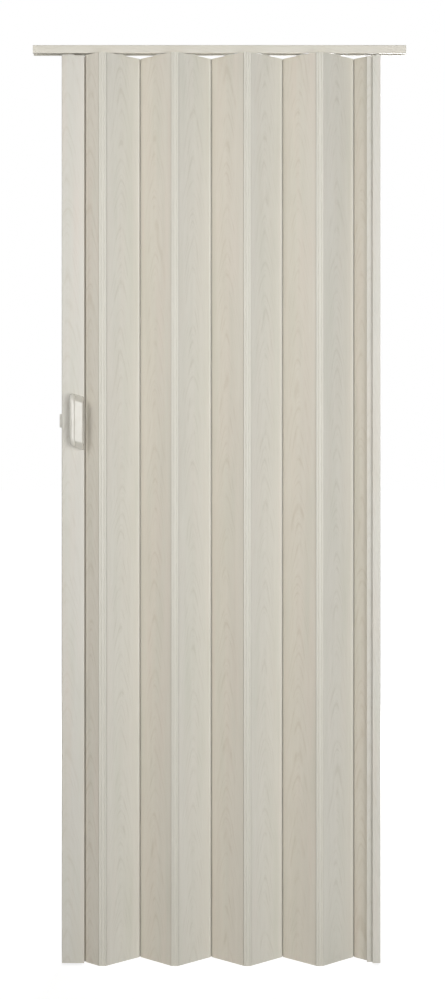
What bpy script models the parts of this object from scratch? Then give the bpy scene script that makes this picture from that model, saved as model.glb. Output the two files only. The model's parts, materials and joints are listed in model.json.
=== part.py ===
"""Accordion folding door of hollow PVC extrusions, hung from a C-section top rail.

Frame: metres, +Z up, X along the rail, the front faces -Y, origin at floor level below the rail's middle.
The door is posed at FOLD_ANGLE between each panel and the rail. Every moving piece hangs from an empty on
its own vertical axis, and those empties form the fold's chain, from the jamb to the closing stile.
"""

import math

import bmesh
import bpy
from mathutils import Matrix

# Door as a whole
OVERALL_HEIGHT = 2.040
FOLD_ANGLE = math.radians(40.45)
WIDEST_OPEN_ANGLE = math.radians(32)
FULLY_STACKED_ANGLE = math.radians(80)
FULL_PANELS = 7

# Top rail, a C-section that is open below
RAIL_LENGTH = 0.830
RAIL_WIDTH = 0.025
RAIL_HEIGHT = 0.018
RAIL_WALL = 0.0016
RAIL_SLOT = 0.010
RAIL_CORNER_RADIUS = 0.0015
RAIL_SCREW_HOLE_RADIUS = 0.00225
RAIL_SCREW_HOLE_SHARES = (-0.46, -0.155, 0.155, 0.46)

# Hollow panels
PANEL_PITCH = 0.092
PANEL_THICKNESS = 0.008
PANEL_WALL = 0.001
PANEL_RIB = 0.0008
PANEL_TOP_GAP = 0.003
FULL_PANEL_CHAMBERS = 5
HALF_PANEL_CHAMBERS = 3
PANEL_END_WALL = 0.0014
OUTER_LIP_SETBACK = 0.002
POST_SIDE_SETBACK = 0.006
INNER_LIP_WRAP = math.radians(35)

# Snap-in hinge: a bead on the panel's edge turns in a C-shaped socket
BEAD_RADIUS = 0.002
NECK_THICKNESS = 0.0016
SOCKET_CLEARANCE = 0.0002
SOCKET_WALL = 0.0009
CUP_CLEARANCE = 0.0003
SWING_MARGIN = math.radians(5)

# Hinge strip between two panels
STRIP_AXIS_SPACING = 0.010
STRIP_WIDTH = 0.016
STRIP_WEB = 0.0016
STRIP_WEB_STAND_OFF = 0.0006
STRIP_GROOVE_PLACE = 0.0033
STRIP_GROOVE_WIDTH = 0.0014
STRIP_GROOVE_DEPTH = 0.0008
STRIP_EDGE_CHAMFER = 0.0004

# Closing stile and jamb post
POST_THICKNESS = 0.028
POST_WALL = 0.0016
POST_LIP_WALL = 0.0014
POST_TOP_GAP = 0.0055
POST_CORNER_RADIUS = 0.003
POST_FRONT_LIP_SETBACK = 0.0024
POST_REAR_LIP_REACH = 0.0017
PARTITION_SETBACK = 0.0052
SOCKET_STEM = 0.0022
STILE_WIDTH = 0.0523
STILE_RIB_PLACE = 0.024
STILE_RIB = 0.0012
JAMB_WIDTH = 0.0160
JAMB_INSET = 0.0574
JAMB_WING_REACH = 0.0136
JAMB_WING_CLEARANCE = 0.0008
JAMB_WING_TIP = 0.0005

# Jamb channel, screwed to the wall and covered by the jamb post
CHANNEL_WALL = 0.002
CHANNEL_FLANGE = 0.008
CHANNEL_SCREW_HOLE_RADIUS = 0.00225
CHANNEL_SCREW_HEIGHT_SHARES = (0.07, 0.5, 0.93)

# Clearances
SEAT_GAP = 0.0003
CUT_OVERRUN = 0.004
WELD_DISTANCE = 0.000004

# Gliders and hangers
GLIDER_HEAD_LENGTH = 0.020
GLIDER_HEAD_WIDTH = 0.019
GLIDER_HEAD_HEIGHT = 0.004
GLIDER_HEAD_CORNER = 0.005
GLIDER_NECK_RADIUS = 0.0035
GLIDER_STEM_RADIUS = 0.0015
GLIDER_SNAP_RADIUS = 0.0021
GLIDER_SNAP_LENGTH = 0.003
STEM_CLEARANCE = 0.0002
PLUG_FLANGE = 0.0015
PLUG_FLANGE_LENGTH = 0.022
PLUG_DEPTH = 0.018
HANGER_HEAD_LENGTH = 0.026
HANGER_FLANGE = 0.002
HANGER_DEPTH = 0.022

# Bow handle, one moulding used on both sides
HANDLE_HEIGHT = 1.2035
HANDLE_PLACE = 0.0176
HANDLE_LENGTH = 0.118
HANDLE_WIDTH = 0.030
HANDLE_PROUD = 0.030
HANDLE_BAR_RADIUS = 0.006
HANDLE_BAR_BEND = 0.013
HANDLE_BLADE_DROP = 0.004
HANDLE_BLADE_THICKNESS = 0.006
HANDLE_BLADE_SLOPE = 0.0145
HANDLE_FOOT = 0.014
HANDLE_EDGE_ROUNDING = 0.002
HANDLE_SLANT = 0.3
HANDLE_SCREW_SPACING = 0.104
HANDLE_SCREW_RADIUS = 0.00175
HANDLE_SCREW_HEAD_RADIUS = 0.0035
HANDLE_SCREW_HEAD_HEIGHT = 0.0025
HANDLE_SCREW_HEAD_TOP_SHARE = 0.6
HANDLE_SCREW_SEAT = 0.006
HANDLE_SCREW_BITE = 0.010

# Spring latch on the closing edge
LATCH_HEIGHT = 1.205
LATCH_NOSE_HEIGHT = 0.030
LATCH_NOSE_THICKNESS = 0.010
LATCH_NOSE_REACH = 0.0056
LATCH_NOSE_SHOULDER_SHARE = 0.33
LATCH_NOSE_TIP_SHARE = 0.45
LATCH_TRAVEL = 0.005
LATCH_CASE_HEIGHT = 0.066
LATCH_CASE_WALL = 0.002
LATCH_BOLT_FLANGE = 0.0025
LATCH_BOLT_FLANGE_MARGIN = 0.002
LATCH_CLEARANCE = 0.0003
LATCH_PIN_RADIUS = 0.002
LATCH_PIN_LENGTH = 0.004
LATCH_SCREW_SPACING = 0.050
LATCH_SCREW_RADIUS = 0.0015
LATCH_SCREW_HEAD_RADIUS = 0.003
LATCH_SCREW_LENGTH = 0.012
LATCH_SPRING_RADIUS = 0.0032
LATCH_SPRING_WIRE_RADIUS = 0.0004
LATCH_SPRING_TURNS = 5
LATCH_SPRING_SPARE = 0.0068
LATCH_SPRING_POINTS_PER_TURN = 10

# Facets
ARC_STEPS = 10
SHORT_ARC_STEPS = 4
ROUND_STEPS = 12
CORNER_STEPS = 2
SMOOTH_ANGLE = math.radians(35)
FLAT_ANGLE = math.radians(1)

# Sizes that follow from the ones above
SOCKET_BORE = BEAD_RADIUS + SOCKET_CLEARANCE
SOCKET_OUTSIDE = SOCKET_BORE + SOCKET_WALL
CUP_RADIUS = SOCKET_OUTSIDE + CUP_CLEARANCE
RAIL_UNDERSIDE = OVERALL_HEIGHT - RAIL_HEIGHT
RAIL_LIP_TOP = RAIL_UNDERSIDE + RAIL_WALL
PANEL_HEIGHT = RAIL_UNDERSIDE - PANEL_TOP_GAP
POST_HEIGHT = RAIL_UNDERSIDE - POST_TOP_GAP
HALF_PITCH = PANEL_PITCH / 2
HALF_THICKNESS = PANEL_THICKNESS / 2
POST_HALF = POST_THICKNESS / 2
POST_INSIDE_HALF = POST_HALF - POST_WALL
JAMB_AXIS_X = RAIL_LENGTH / 2 - JAMB_INSET - JAMB_WIDTH
SWING_SLACK = math.asin(NECK_THICKNESS / 2 / SOCKET_BORE) + SWING_MARGIN
OPENING_START = WIDEST_OPEN_ANGLE - SWING_SLACK
OPENING_END = FULLY_STACKED_ANGLE + SWING_SLACK
HANDLE_AXIS_SPACING_HALF = HANDLE_SCREW_SPACING / 2
LATCH_SPRING_SOLID = (LATCH_SPRING_TURNS + 1) * 2 * LATCH_SPRING_WIRE_RADIUS
LATCH_SPRING_LENGTH = LATCH_TRAVEL + LATCH_SPRING_SOLID + LATCH_SPRING_SPARE
LATCH_FLANGE_FRONT = POST_WALL + SEAT_GAP + LATCH_CLEARANCE
LATCH_FLANGE_BACK = LATCH_FLANGE_FRONT + LATCH_BOLT_FLANGE
LATCH_SPRING_START = LATCH_FLANGE_BACK + SEAT_GAP
LATCH_SPRING_END = LATCH_SPRING_START + LATCH_SPRING_LENGTH
LATCH_CASE_DEPTH = LATCH_SPRING_END + SEAT_GAP + LATCH_CASE_WALL - POST_WALL - SEAT_GAP

QUARTER = math.pi / 2


def start_scene():
    """Empties the scene and makes the door's collection and the cutters' one."""
    for old in list(bpy.data.objects):
        bpy.data.objects.remove(old)
    door = bpy.data.collections.new("folding_door")
    cutters = bpy.data.collections.new("cutters")
    for group in (door, cutters):
        bpy.context.scene.collection.children.link(group)
    return door, cutters


DOOR, CUTTERS = start_scene()


def finish(name, colour, roughness, metallic=0.0):
    """A plain Principled material in a linear colour."""
    material = bpy.data.materials.new(name)
    material.use_nodes = True
    shader = material.node_tree.nodes["Principled BSDF"]
    shader.inputs["Base Color"].default_value = (*colour, 1.0)
    shader.inputs["Roughness"].default_value = roughness
    shader.inputs["Metallic"].default_value = metallic
    material.diffuse_color = (*colour, 1.0)
    return material


PANEL_PVC = finish("pale_ash_pvc", (0.62, 0.58, 0.50), 0.45)
STRIP_PVC = finish("cream_hinge_pvc", (0.66, 0.63, 0.55), 0.40)
POST_PVC = finish("pale_ash_post_pvc", (0.66, 0.63, 0.56), 0.45)
RAIL_PVC = finish("cream_rail_pvc", (0.64, 0.61, 0.54), 0.45)
HANDLE_PLASTIC = finish("ivory_handle_plastic", (0.72, 0.69, 0.61), 0.30)
LATCH_PLASTIC = finish("light_grey_acetal", (0.56, 0.55, 0.51), 0.35)
NYLON = finish("natural_nylon", (0.80, 0.79, 0.74), 0.40)
ZINC_STEEL = finish("zinc_plated_steel", (0.60, 0.61, 0.62), 0.35, 1.0)


def arc(centre_x, centre_y, radius, start, end, steps):
    """Points on an arc, both ends included."""
    angles = [start + (end - start) * step / steps for step in range(steps + 1)]
    return [(centre_x + radius * math.cos(a), centre_y + radius * math.sin(a)) for a in angles]


def box_outline(x_low, x_high, y_low, y_high):
    """A rectangle's four corners, anticlockwise."""
    return [(x_low, y_low), (x_high, y_low), (x_high, y_high), (x_low, y_high)]


def rounded_outline(x_low, x_high, y_low, y_high, radius, steps=SHORT_ARC_STEPS):
    """A rectangle with round corners, anticlockwise."""
    corners = (
        (x_high - radius, y_low + radius, -QUARTER),
        (x_high - radius, y_high - radius, 0.0),
        (x_low + radius, y_high - radius, QUARTER),
        (x_low + radius, y_low + radius, math.pi),
    )
    return [point for x, y, start in corners for point in arc(x, y, radius, start, start + QUARTER, steps)]


def place(obj, parent, location, rotation, material):
    """Links an object, hangs it from its parent and dresses it."""
    DOOR.objects.link(obj)
    obj.parent = parent
    obj.location = location
    obj.rotation_euler = rotation
    if material and not obj.data.materials:
        obj.data.materials.append(material)
    return obj


def outline_curve(name, loops, thickness):
    """A flat outline with its holes, thickened evenly to both sides of its plane."""
    curve = bpy.data.curves.new(name, "CURVE")
    curve.dimensions = "2D"
    curve.fill_mode = "BOTH"
    curve.extrude = thickness / 2
    for loop in loops:
        spline = curve.splines.new("POLY")
        spline.points.add(len(loop) - 1)
        for point, (x, y) in zip(spline.points, loop):
            point.co = (x, y, 0.0, 1.0)
        spline.use_cyclic_u = True
    return curve


def solid_mesh(data, transform=None):
    """The closed mesh of a curve or a mesh with modifiers, its caps welded, moved by a matrix."""
    if isinstance(data, bpy.types.Object):
        source = data
    else:
        source = bpy.data.objects.new("source", data)
        CUTTERS.objects.link(source)
    bpy.context.view_layer.update()
    graph = bpy.context.evaluated_depsgraph_get()
    mesh = bpy.data.meshes.new_from_object(source.evaluated_get(graph))
    shape = bmesh.new()
    shape.from_mesh(mesh)
    bmesh.ops.remove_doubles(shape, verts=shape.verts, dist=WELD_DISTANCE)
    bmesh.ops.recalc_face_normals(shape, faces=shape.faces)
    shape.to_mesh(mesh)
    shape.free()
    if transform:
        mesh.transform(transform)
    bpy.data.objects.remove(source)
    return mesh


def prism(loops, low, high, transform=None):
    """A closed mesh between two heights with the given outline and holes."""
    mesh = solid_mesh(outline_curve("prism", loops, high - low))
    mesh.transform(Matrix.Translation((0.0, 0.0, (low + high) / 2)))
    if transform:
        mesh.transform(transform)
    return mesh


def rod(radius, low, high, transform=None, top_radius=None):
    """A round rod or, with another top radius, a cone between two heights on Z."""
    shape = bmesh.new()
    bmesh.ops.create_cone(
        shape,
        cap_ends=True,
        segments=ROUND_STEPS,
        radius1=radius,
        radius2=radius if top_radius is None else top_radius,
        depth=high - low,
        matrix=Matrix.Translation((0.0, 0.0, (low + high) / 2)),
    )
    mesh = bpy.data.meshes.new("rod")
    shape.to_mesh(mesh)
    shape.free()
    if transform:
        mesh.transform(transform)
    return mesh


def combine(base, operations):
    """One closed mesh made from a base by (operation, mesh) steps, each an exact Boolean."""
    body = bpy.data.objects.new("body", base)
    CUTTERS.objects.link(body)
    tools = []
    for operation, mesh in operations:
        tool = bpy.data.objects.new("tool", mesh)
        CUTTERS.objects.link(tool)
        tool.hide_render = True
        tool.display_type = "WIRE"
        tools.append(tool)
        step = body.modifiers.new(operation.lower(), "BOOLEAN")
        step.operation = operation
        step.solver = "EXACT"
        step.object = tool
    mesh = solid_mesh(body)
    for tool in tools:
        bpy.data.objects.remove(tool)
    return mesh


def gathered(meshes):
    """One cutter mesh made of several that don't touch."""
    shape = bmesh.new()
    for mesh in meshes:
        shape.from_mesh(mesh)
    together = bpy.data.meshes.new("cutters")
    shape.to_mesh(together)
    shape.free()
    return together


def turned(profile, steps=ROUND_STEPS):
    """A closed turned mesh from a (radius, height) profile that runs down its outer side."""
    mesh = bpy.data.meshes.new("profile")
    edges = [(i, i + 1) for i in range(len(profile) - 1)]
    mesh.from_pydata([(r, 0.0, z) for r, z in profile], edges, [])
    body = bpy.data.objects.new("turned", mesh)
    CUTTERS.objects.link(body)
    screw = body.modifiers.new("turn", "SCREW")
    screw.steps = screw.render_steps = steps
    screw.use_merge_vertices = True
    screw.merge_threshold = WELD_DISTANCE
    return solid_mesh(body)


def mesh_object(name, mesh, parent, location, rotation, material):
    """A node made from a finished mesh, smooth where it is round."""
    mesh.name = name
    mesh.shade_smooth()
    mesh.set_sharp_from_angle(angle=SMOOTH_ANGLE)
    return place(bpy.data.objects.new(name, mesh), parent, location, rotation, material)


def axis_empty(name, parent, location, turn=0.0):
    """The empty that carries one moving body, on that body's own axis."""
    empty = bpy.data.objects.new(name, None)
    empty.empty_display_size = PANEL_THICKNESS
    DOOR.objects.link(empty)
    empty.parent = parent
    empty.location = location
    empty.rotation_euler = (0.0, 0.0, turn)
    return empty


# Top rail
def make_rail(parent):
    """C-section rail, extruded along X, with the holes of its ceiling screws."""
    half, slot = RAIL_WIDTH / 2, RAIL_SLOT / 2
    inner, corner = half - RAIL_WALL, RAIL_CORNER_RADIUS
    top, inner_top = RAIL_HEIGHT, RAIL_HEIGHT - RAIL_WALL
    section = [(slot, 0.0), (half, 0.0)]
    section += arc(half - corner, top - corner, corner, 0.0, QUARTER, SHORT_ARC_STEPS)
    section += arc(corner - half, top - corner, corner, QUARTER, math.pi, SHORT_ARC_STEPS)
    section += [(-half, 0.0), (-slot, 0.0), (-slot, RAIL_WALL), (-inner, RAIL_WALL)]
    section += [(-inner, inner_top), (inner, inner_top), (inner, RAIL_WALL), (slot, RAIL_WALL)]
    along_x = Matrix.Rotation(QUARTER, 4, "Z") @ Matrix.Rotation(QUARTER, 4, "X")
    body = prism([section], -RAIL_LENGTH / 2, RAIL_LENGTH / 2, along_x)
    holes = []
    for share in RAIL_SCREW_HOLE_SHARES:
        move = Matrix.Translation((share * RAIL_LENGTH, 0.0, 0.0))
        holes.append(rod(RAIL_SCREW_HOLE_RADIUS, inner_top - RAIL_WALL, top + RAIL_WALL, move))
    mesh = combine(body, [("DIFFERENCE", gathered(holes))])
    return mesh_object("rail", mesh, parent, (0.0, 0.0, RAIL_UNDERSIDE), (0, 0, 0), RAIL_PVC)


# Panels
def inner_lip(axis_x, neck_turn):
    """The long lip under a bead: the panel's lower face ends in a nose round the socket."""
    tip = INNER_LIP_WRAP - QUARTER
    points = arc(axis_x, 0.0, HALF_THICKNESS, -QUARTER, tip, SHORT_ARC_STEPS)
    return points + arc(axis_x, 0.0, CUP_RADIUS, tip, neck_turn - math.pi, ARC_STEPS)


def outer_lip(axis_x, neck_turn, setback):
    """The short lip over a bead, from the neck to the upper face, or a plain end wall beyond the cup."""
    if setback > CUP_RADIUS:
        return [(axis_x - setback, NECK_THICKNESS / 2), (axis_x - setback, HALF_THICKNESS)]
    end = math.pi - math.acos(setback / CUP_RADIUS)
    points = arc(axis_x, 0.0, CUP_RADIUS, math.pi - neck_turn, end, SHORT_ARC_STEPS)
    return points + [(axis_x - setback, HALF_THICKNESS)]


def panel_edge(axis_x, setback):
    """The right-hand edge of a panel, from its lower face up: lip, cup, neck, bead and lip."""
    neck_at_cup = math.asin(NECK_THICKNESS / 2 / CUP_RADIUS)
    neck_at_bead = math.asin(NECK_THICKNESS / 2 / BEAD_RADIUS)
    bead = arc(axis_x, 0.0, BEAD_RADIUS, neck_at_bead - math.pi, math.pi - neck_at_bead, ARC_STEPS)
    return inner_lip(axis_x, neck_at_cup) + bead + outer_lip(axis_x, neck_at_cup, setback)


def turn_half(points):
    """The same points turned half a turn about the origin."""
    return [(-x, -y) for x, y in points]


def panel_chambers(length, count, right_setback):
    """The hollow chambers between a panel's ribs, and the length of one."""
    start = -length / 2 + CUP_RADIUS + PANEL_END_WALL
    end = length / 2 - max(CUP_RADIUS, right_setback) - PANEL_END_WALL
    size = (end - start - (count - 1) * PANEL_RIB) / count
    inner = HALF_THICKNESS - PANEL_WALL
    starts = [start + index * (size + PANEL_RIB) for index in range(count)]
    return [box_outline(low, low + size, -inner, inner) for low in starts], size


def full_panel_section():
    """A full panel from above about its middle, and a chamber's length.

    Its long lips are on opposite faces.
    """
    edge = panel_edge(PANEL_PITCH / 2, OUTER_LIP_SETBACK)
    loops, chamber = panel_chambers(PANEL_PITCH, FULL_PANEL_CHAMBERS, OUTER_LIP_SETBACK)
    return [edge + turn_half(edge)] + loops, chamber


def half_panel_section():
    """A half panel from above, both long lips on its lower face. Its right-hand edge meets a post."""
    at_post = panel_edge(HALF_PITCH / 2, POST_SIDE_SETBACK)
    at_strip = [(-x, y) for x, y in reversed(panel_edge(HALF_PITCH / 2, OUTER_LIP_SETBACK))]
    loops, _ = panel_chambers(HALF_PITCH, HALF_PANEL_CHAMBERS, POST_SIDE_SETBACK)
    return [at_post + at_strip] + loops


def shifted(loops, x):
    """All loops moved along X."""
    return [[(px + x, py) for px, py in loop] for loop in loops]


def make_panel(name, curve, parent, rotation, x=0.0):
    """A panel that hangs from the empty on its axis."""
    return place(bpy.data.objects.new(name, curve), parent, (x, 0.0, PANEL_HEIGHT / 2), rotation, PANEL_PVC)


# Hinge strips
def socket_ring(axis_x, start, end, steps=ARC_STEPS):
    """The inside of a socket, from one edge of its opening to the other."""
    return arc(axis_x, 0.0, SOCKET_BORE, start, end, steps)


def strip_half_section():
    """Half of a hinge strip's outline, from the web's inside middle round the socket to the web's face.

    The face looks along +Y here, and the panel swings towards -Y.
    """
    axis_x = STRIP_AXIS_SPACING / 2
    web_inside = SOCKET_BORE + STRIP_WEB_STAND_OFF
    face = web_inside + STRIP_WEB
    meets_web = math.asin(web_inside / SOCKET_OUTSIDE)
    half_turn = math.pi
    points = [(0.0, web_inside)]
    ring_end = 2 * half_turn - OPENING_END
    points += arc(axis_x, 0.0, SOCKET_OUTSIDE, half_turn - meets_web, ring_end, SHORT_ARC_STEPS + 2)
    points += socket_ring(axis_x, 2 * half_turn - OPENING_END, -OPENING_START, ARC_STEPS + 2)
    points += arc(axis_x, 0.0, SOCKET_OUTSIDE, -OPENING_START, meets_web, SHORT_ARC_STEPS)
    points += [(STRIP_WIDTH / 2, web_inside), (STRIP_WIDTH / 2, face - STRIP_EDGE_CHAMFER)]
    points += [(STRIP_WIDTH / 2 - STRIP_EDGE_CHAMFER, face)]
    points += [(STRIP_GROOVE_PLACE + STRIP_GROOVE_WIDTH / 2, face)]
    points += [(STRIP_GROOVE_PLACE, face - STRIP_GROOVE_DEPTH)]
    points += [(STRIP_GROOVE_PLACE - STRIP_GROOVE_WIDTH / 2, face)]
    return points


def strip_section():
    """A hinge strip's whole outline: one half and its mirror image."""
    half = strip_half_section()
    mirrored = [(-x, y) for x, y in reversed(half[1:])]
    return [half + mirrored]


def make_strip(name, curve, parent, at_front):
    """A hinge strip on the empty of its own axis. Its middle is half its axis spacing further along."""
    rotation = (0.0, 0.0, math.pi if at_front else 0.0)
    strip = bpy.data.objects.new(name, curve)
    location = (-STRIP_AXIS_SPACING / 2, 0.0, PANEL_HEIGHT / 2)
    return place(strip, parent, location, rotation, STRIP_PVC)


# Posts
def post_socket(partition_x):
    """A post's right-hand socket on its stem, from the partition's front side round to its rear side."""
    stem = SOCKET_STEM / 2
    stem_turn = math.asin(stem / SOCKET_OUTSIDE)
    opening_low, opening_high = -OPENING_END, -OPENING_START
    points = [(partition_x, -stem)]
    points += arc(0.0, 0.0, SOCKET_OUTSIDE, stem_turn - math.pi, opening_low, SHORT_ARC_STEPS)
    points += socket_ring(0.0, opening_low, opening_high - 2 * math.pi, ARC_STEPS + 2)
    points += arc(0.0, 0.0, SOCKET_OUTSIDE, opening_high, math.pi - stem_turn, 2 * SHORT_ARC_STEPS)
    points += [(partition_x, stem)]
    return points


def post_right_side():
    """The folded side of a post, from its front face to its rear one: lips, partition, stem and socket."""
    front, rear = -POST_FRONT_LIP_SETBACK, POST_REAR_LIP_REACH
    lip_inside = POST_HALF - POST_LIP_WALL
    points = [(front, -POST_HALF), (front, -lip_inside), (-PARTITION_SETBACK, -lip_inside)]
    points += post_socket(-PARTITION_SETBACK)
    points += [(-PARTITION_SETBACK, lip_inside), (rear, lip_inside), (rear, POST_HALF)]
    return points


def stile_section():
    """The closing stile, with round closing edges, one rib and two chambers. The axis is the origin."""
    left, corner = -STILE_WIDTH, POST_CORNER_RADIUS
    outline = post_right_side()
    outline += arc(left + corner, POST_HALF - corner, corner, QUARTER, math.pi, SHORT_ARC_STEPS)
    outline += arc(left + corner, corner - POST_HALF, corner, math.pi, math.pi + QUARTER, SHORT_ARC_STEPS)
    inside_left, inside_right = left + POST_WALL, -PARTITION_SETBACK - POST_WALL
    rib_left, rib_right = -STILE_RIB_PLACE - STILE_RIB / 2, -STILE_RIB_PLACE + STILE_RIB / 2
    latch_chamber = box_outline(inside_left, rib_left, -POST_INSIDE_HALF, POST_INSIDE_HALF)
    handle_chamber = box_outline(rib_right, inside_right, -POST_INSIDE_HALF, POST_INSIDE_HALF)
    return [outline, latch_chamber, handle_chamber]


def jamb_section():
    """The jamb post, open towards the wall: the stile's folded side turned half a turn, with a wing.

    The wing stands before the last panel's hinge and hides it.
    """
    *behind_wing, partition_end, lip_inner, lip_outer = turn_half(post_right_side())
    wing_back = -HALF_THICKNESS - JAMB_WING_CLEARANCE
    wing_front = wing_back - POST_LIP_WALL
    tip = JAMB_WING_TIP
    wing = [(PARTITION_SETBACK, wing_back), (-JAMB_WING_REACH, wing_back)]
    wing += [(-JAMB_WING_REACH, wing_front + tip), (tip - JAMB_WING_REACH, wing_front)]
    wing += [(PARTITION_SETBACK, wing_front)]
    outline = behind_wing + wing + [partition_end, lip_inner, lip_outer]
    right, inside = JAMB_WIDTH, PARTITION_SETBACK + POST_WALL
    outline += [(right, -POST_HALF), (right, -POST_INSIDE_HALF), (inside, -POST_INSIDE_HALF)]
    outline += [(inside, POST_INSIDE_HALF), (right, POST_INSIDE_HALF), (right, POST_HALF)]
    return [outline]


def handle_screw_hole(height):
    """The cutter of a handle screw's way through both faces of the stile."""
    turn = Matrix.Translation((-HANDLE_PLACE, 0.0, height)) @ Matrix.Rotation(QUARTER, 4, "X")
    reach = POST_HALF + CUT_OVERRUN
    return rod(HANDLE_SCREW_RADIUS + STEM_CLEARANCE, -reach, reach, turn)


def make_stile(parent):
    """The closing stile with its latch slot, its latch screws' holes and its handle screws' holes."""
    body = prism(stile_section(), 0.0, POST_HEIGHT)
    slot_half = LATCH_NOSE_THICKNESS / 2 + LATCH_CLEARANCE
    slot_rise = LATCH_NOSE_HEIGHT / 2 + LATCH_CLEARANCE
    slot = box_outline(
        -STILE_WIDTH - CUT_OVERRUN, -STILE_WIDTH + POST_WALL + CUT_OVERRUN, -slot_half, slot_half
    )
    cuts = [prism([slot], LATCH_HEIGHT - slot_rise, LATCH_HEIGHT + slot_rise)]
    for side in (-1, 1):
        height = HANDLE_HEIGHT + side * HANDLE_AXIS_SPACING_HALF
        cuts.append(handle_screw_hole(height))
        height = LATCH_HEIGHT + side * LATCH_SCREW_SPACING / 2
        into_edge = Matrix.Translation((-STILE_WIDTH, 0.0, height)) @ Matrix.Rotation(-QUARTER, 4, "Y")
        hole = latch_screw_mesh(STEM_CLEARANCE, CUT_OVERRUN)
        hole.transform(into_edge)
        cuts.append(hole)
    mesh = combine(body, [("DIFFERENCE", gathered(cuts))])
    return mesh_object("stile_post", mesh, parent, (0, 0, 0), (0, 0, 0), POST_PVC)


def make_jamb(parent):
    """Jamb post and the wall channel inside it."""
    post = bpy.data.objects.new("jamb_post", outline_curve("jamb_post", jamb_section(), POST_HEIGHT))
    place(post, parent, (0.0, 0.0, POST_HEIGHT / 2), (0, 0, 0), POST_PVC)
    half = POST_INSIDE_HALF - SEAT_GAP
    inner = half - CHANNEL_WALL
    back, flange = JAMB_WIDTH, JAMB_WIDTH - CHANNEL_FLANGE
    section = [(flange, -half), (back, -half), (back, half), (flange, half)]
    section += [(flange, inner), (back - CHANNEL_WALL, inner)]
    section += [(back - CHANNEL_WALL, -inner), (flange, -inner)]
    body = prism([section], 0.0, POST_HEIGHT)
    holes = []
    for share in CHANNEL_SCREW_HEIGHT_SHARES:
        turn = Matrix.Translation((back, 0.0, share * POST_HEIGHT)) @ Matrix.Rotation(QUARTER, 4, "Y")
        holes.append(rod(CHANNEL_SCREW_HOLE_RADIUS, -CUT_OVERRUN, CUT_OVERRUN, turn))
    mesh = combine(body, [("DIFFERENCE", gathered(holes))])
    mesh_object("jamb_channel", mesh, parent, (0, 0, 0), (0, 0, 0), POST_PVC)


# Gliders and hangers
def rail_head(length):
    """The oblong head that rides on the rail's lips."""
    half_length, half_width = length / 2, GLIDER_HEAD_WIDTH / 2
    low = RAIL_LIP_TOP + SEAT_GAP
    ends = (-half_length, half_length, -half_width, half_width)
    outline = rounded_outline(*ends, GLIDER_HEAD_CORNER, CORNER_STEPS)
    return prism([outline], low, low + GLIDER_HEAD_HEIGHT)


def glider_mesh():
    """Head, neck, stem and the snap end under the plug."""
    top = RAIL_LIP_TOP + SEAT_GAP + GLIDER_HEAD_HEIGHT / 2
    neck_end = PANEL_HEIGHT + SEAT_GAP + PLUG_FLANGE + SEAT_GAP
    snap_top = PANEL_HEIGHT - PLUG_DEPTH - SEAT_GAP
    snap_end = snap_top - GLIDER_SNAP_LENGTH
    profile = [(0.0, top), (GLIDER_NECK_RADIUS, top), (GLIDER_NECK_RADIUS, neck_end)]
    profile += [(GLIDER_STEM_RADIUS, neck_end), (GLIDER_STEM_RADIUS, snap_top)]
    profile += [(GLIDER_SNAP_RADIUS, snap_top), (GLIDER_STEM_RADIUS, snap_end), (0.0, snap_end)]
    return combine(rail_head(GLIDER_HEAD_LENGTH), [("UNION", turned(profile))])


def plug_mesh(chamber):
    """A cap on the panel's top with a block in its middle chamber, bored for the glider's stem."""
    flange_low = PANEL_HEIGHT + SEAT_GAP
    half_length, half_width = PLUG_FLANGE_LENGTH / 2, HALF_THICKNESS - SEAT_GAP
    cap = rounded_outline(-half_length, half_length, -half_width, half_width, half_width / 2, CORNER_STEPS)
    block_half = chamber / 2 - SEAT_GAP
    block_width = HALF_THICKNESS - PANEL_WALL - SEAT_GAP
    block = box_outline(-block_half, block_half, -block_width, block_width)
    bore = GLIDER_STEM_RADIUS + STEM_CLEARANCE
    steps = [
        ("UNION", prism([block], PANEL_HEIGHT - PLUG_DEPTH, flange_low + PLUG_FLANGE / 2)),
        ("DIFFERENCE", rod(bore, PANEL_HEIGHT - 2 * PLUG_DEPTH, flange_low + 2 * PLUG_FLANGE)),
    ]
    return combine(prism([cap], flange_low, flange_low + PLUG_FLANGE), steps)


def hanger_mesh(block_x, block_y, flange_x, flange_y):
    """A post's hanger: head in the rail, neck, flange on the post's top and block inside it.

    Each range is (low, high) about the neck.
    """
    flange_low = POST_HEIGHT + SEAT_GAP
    flange_high = flange_low + HANGER_FLANGE
    head_middle = RAIL_LIP_TOP + SEAT_GAP + GLIDER_HEAD_HEIGHT / 2
    block_outline = box_outline(*block_x, *block_y)
    block = prism([block_outline], POST_HEIGHT - HANGER_DEPTH, flange_low + HANGER_FLANGE / 2)
    flange = prism([box_outline(*flange_x, *flange_y)], flange_low, flange_high)
    neck = rod(GLIDER_NECK_RADIUS, flange_low + HANGER_FLANGE / 2, head_middle)
    head_length = min(HANGER_HEAD_LENGTH, 2 * (GLIDER_HEAD_LENGTH + min(flange_x[1], -flange_x[0])))
    steps = [("UNION", block), ("UNION", neck), ("UNION", rail_head(head_length))]
    return combine(flange, steps)


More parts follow.
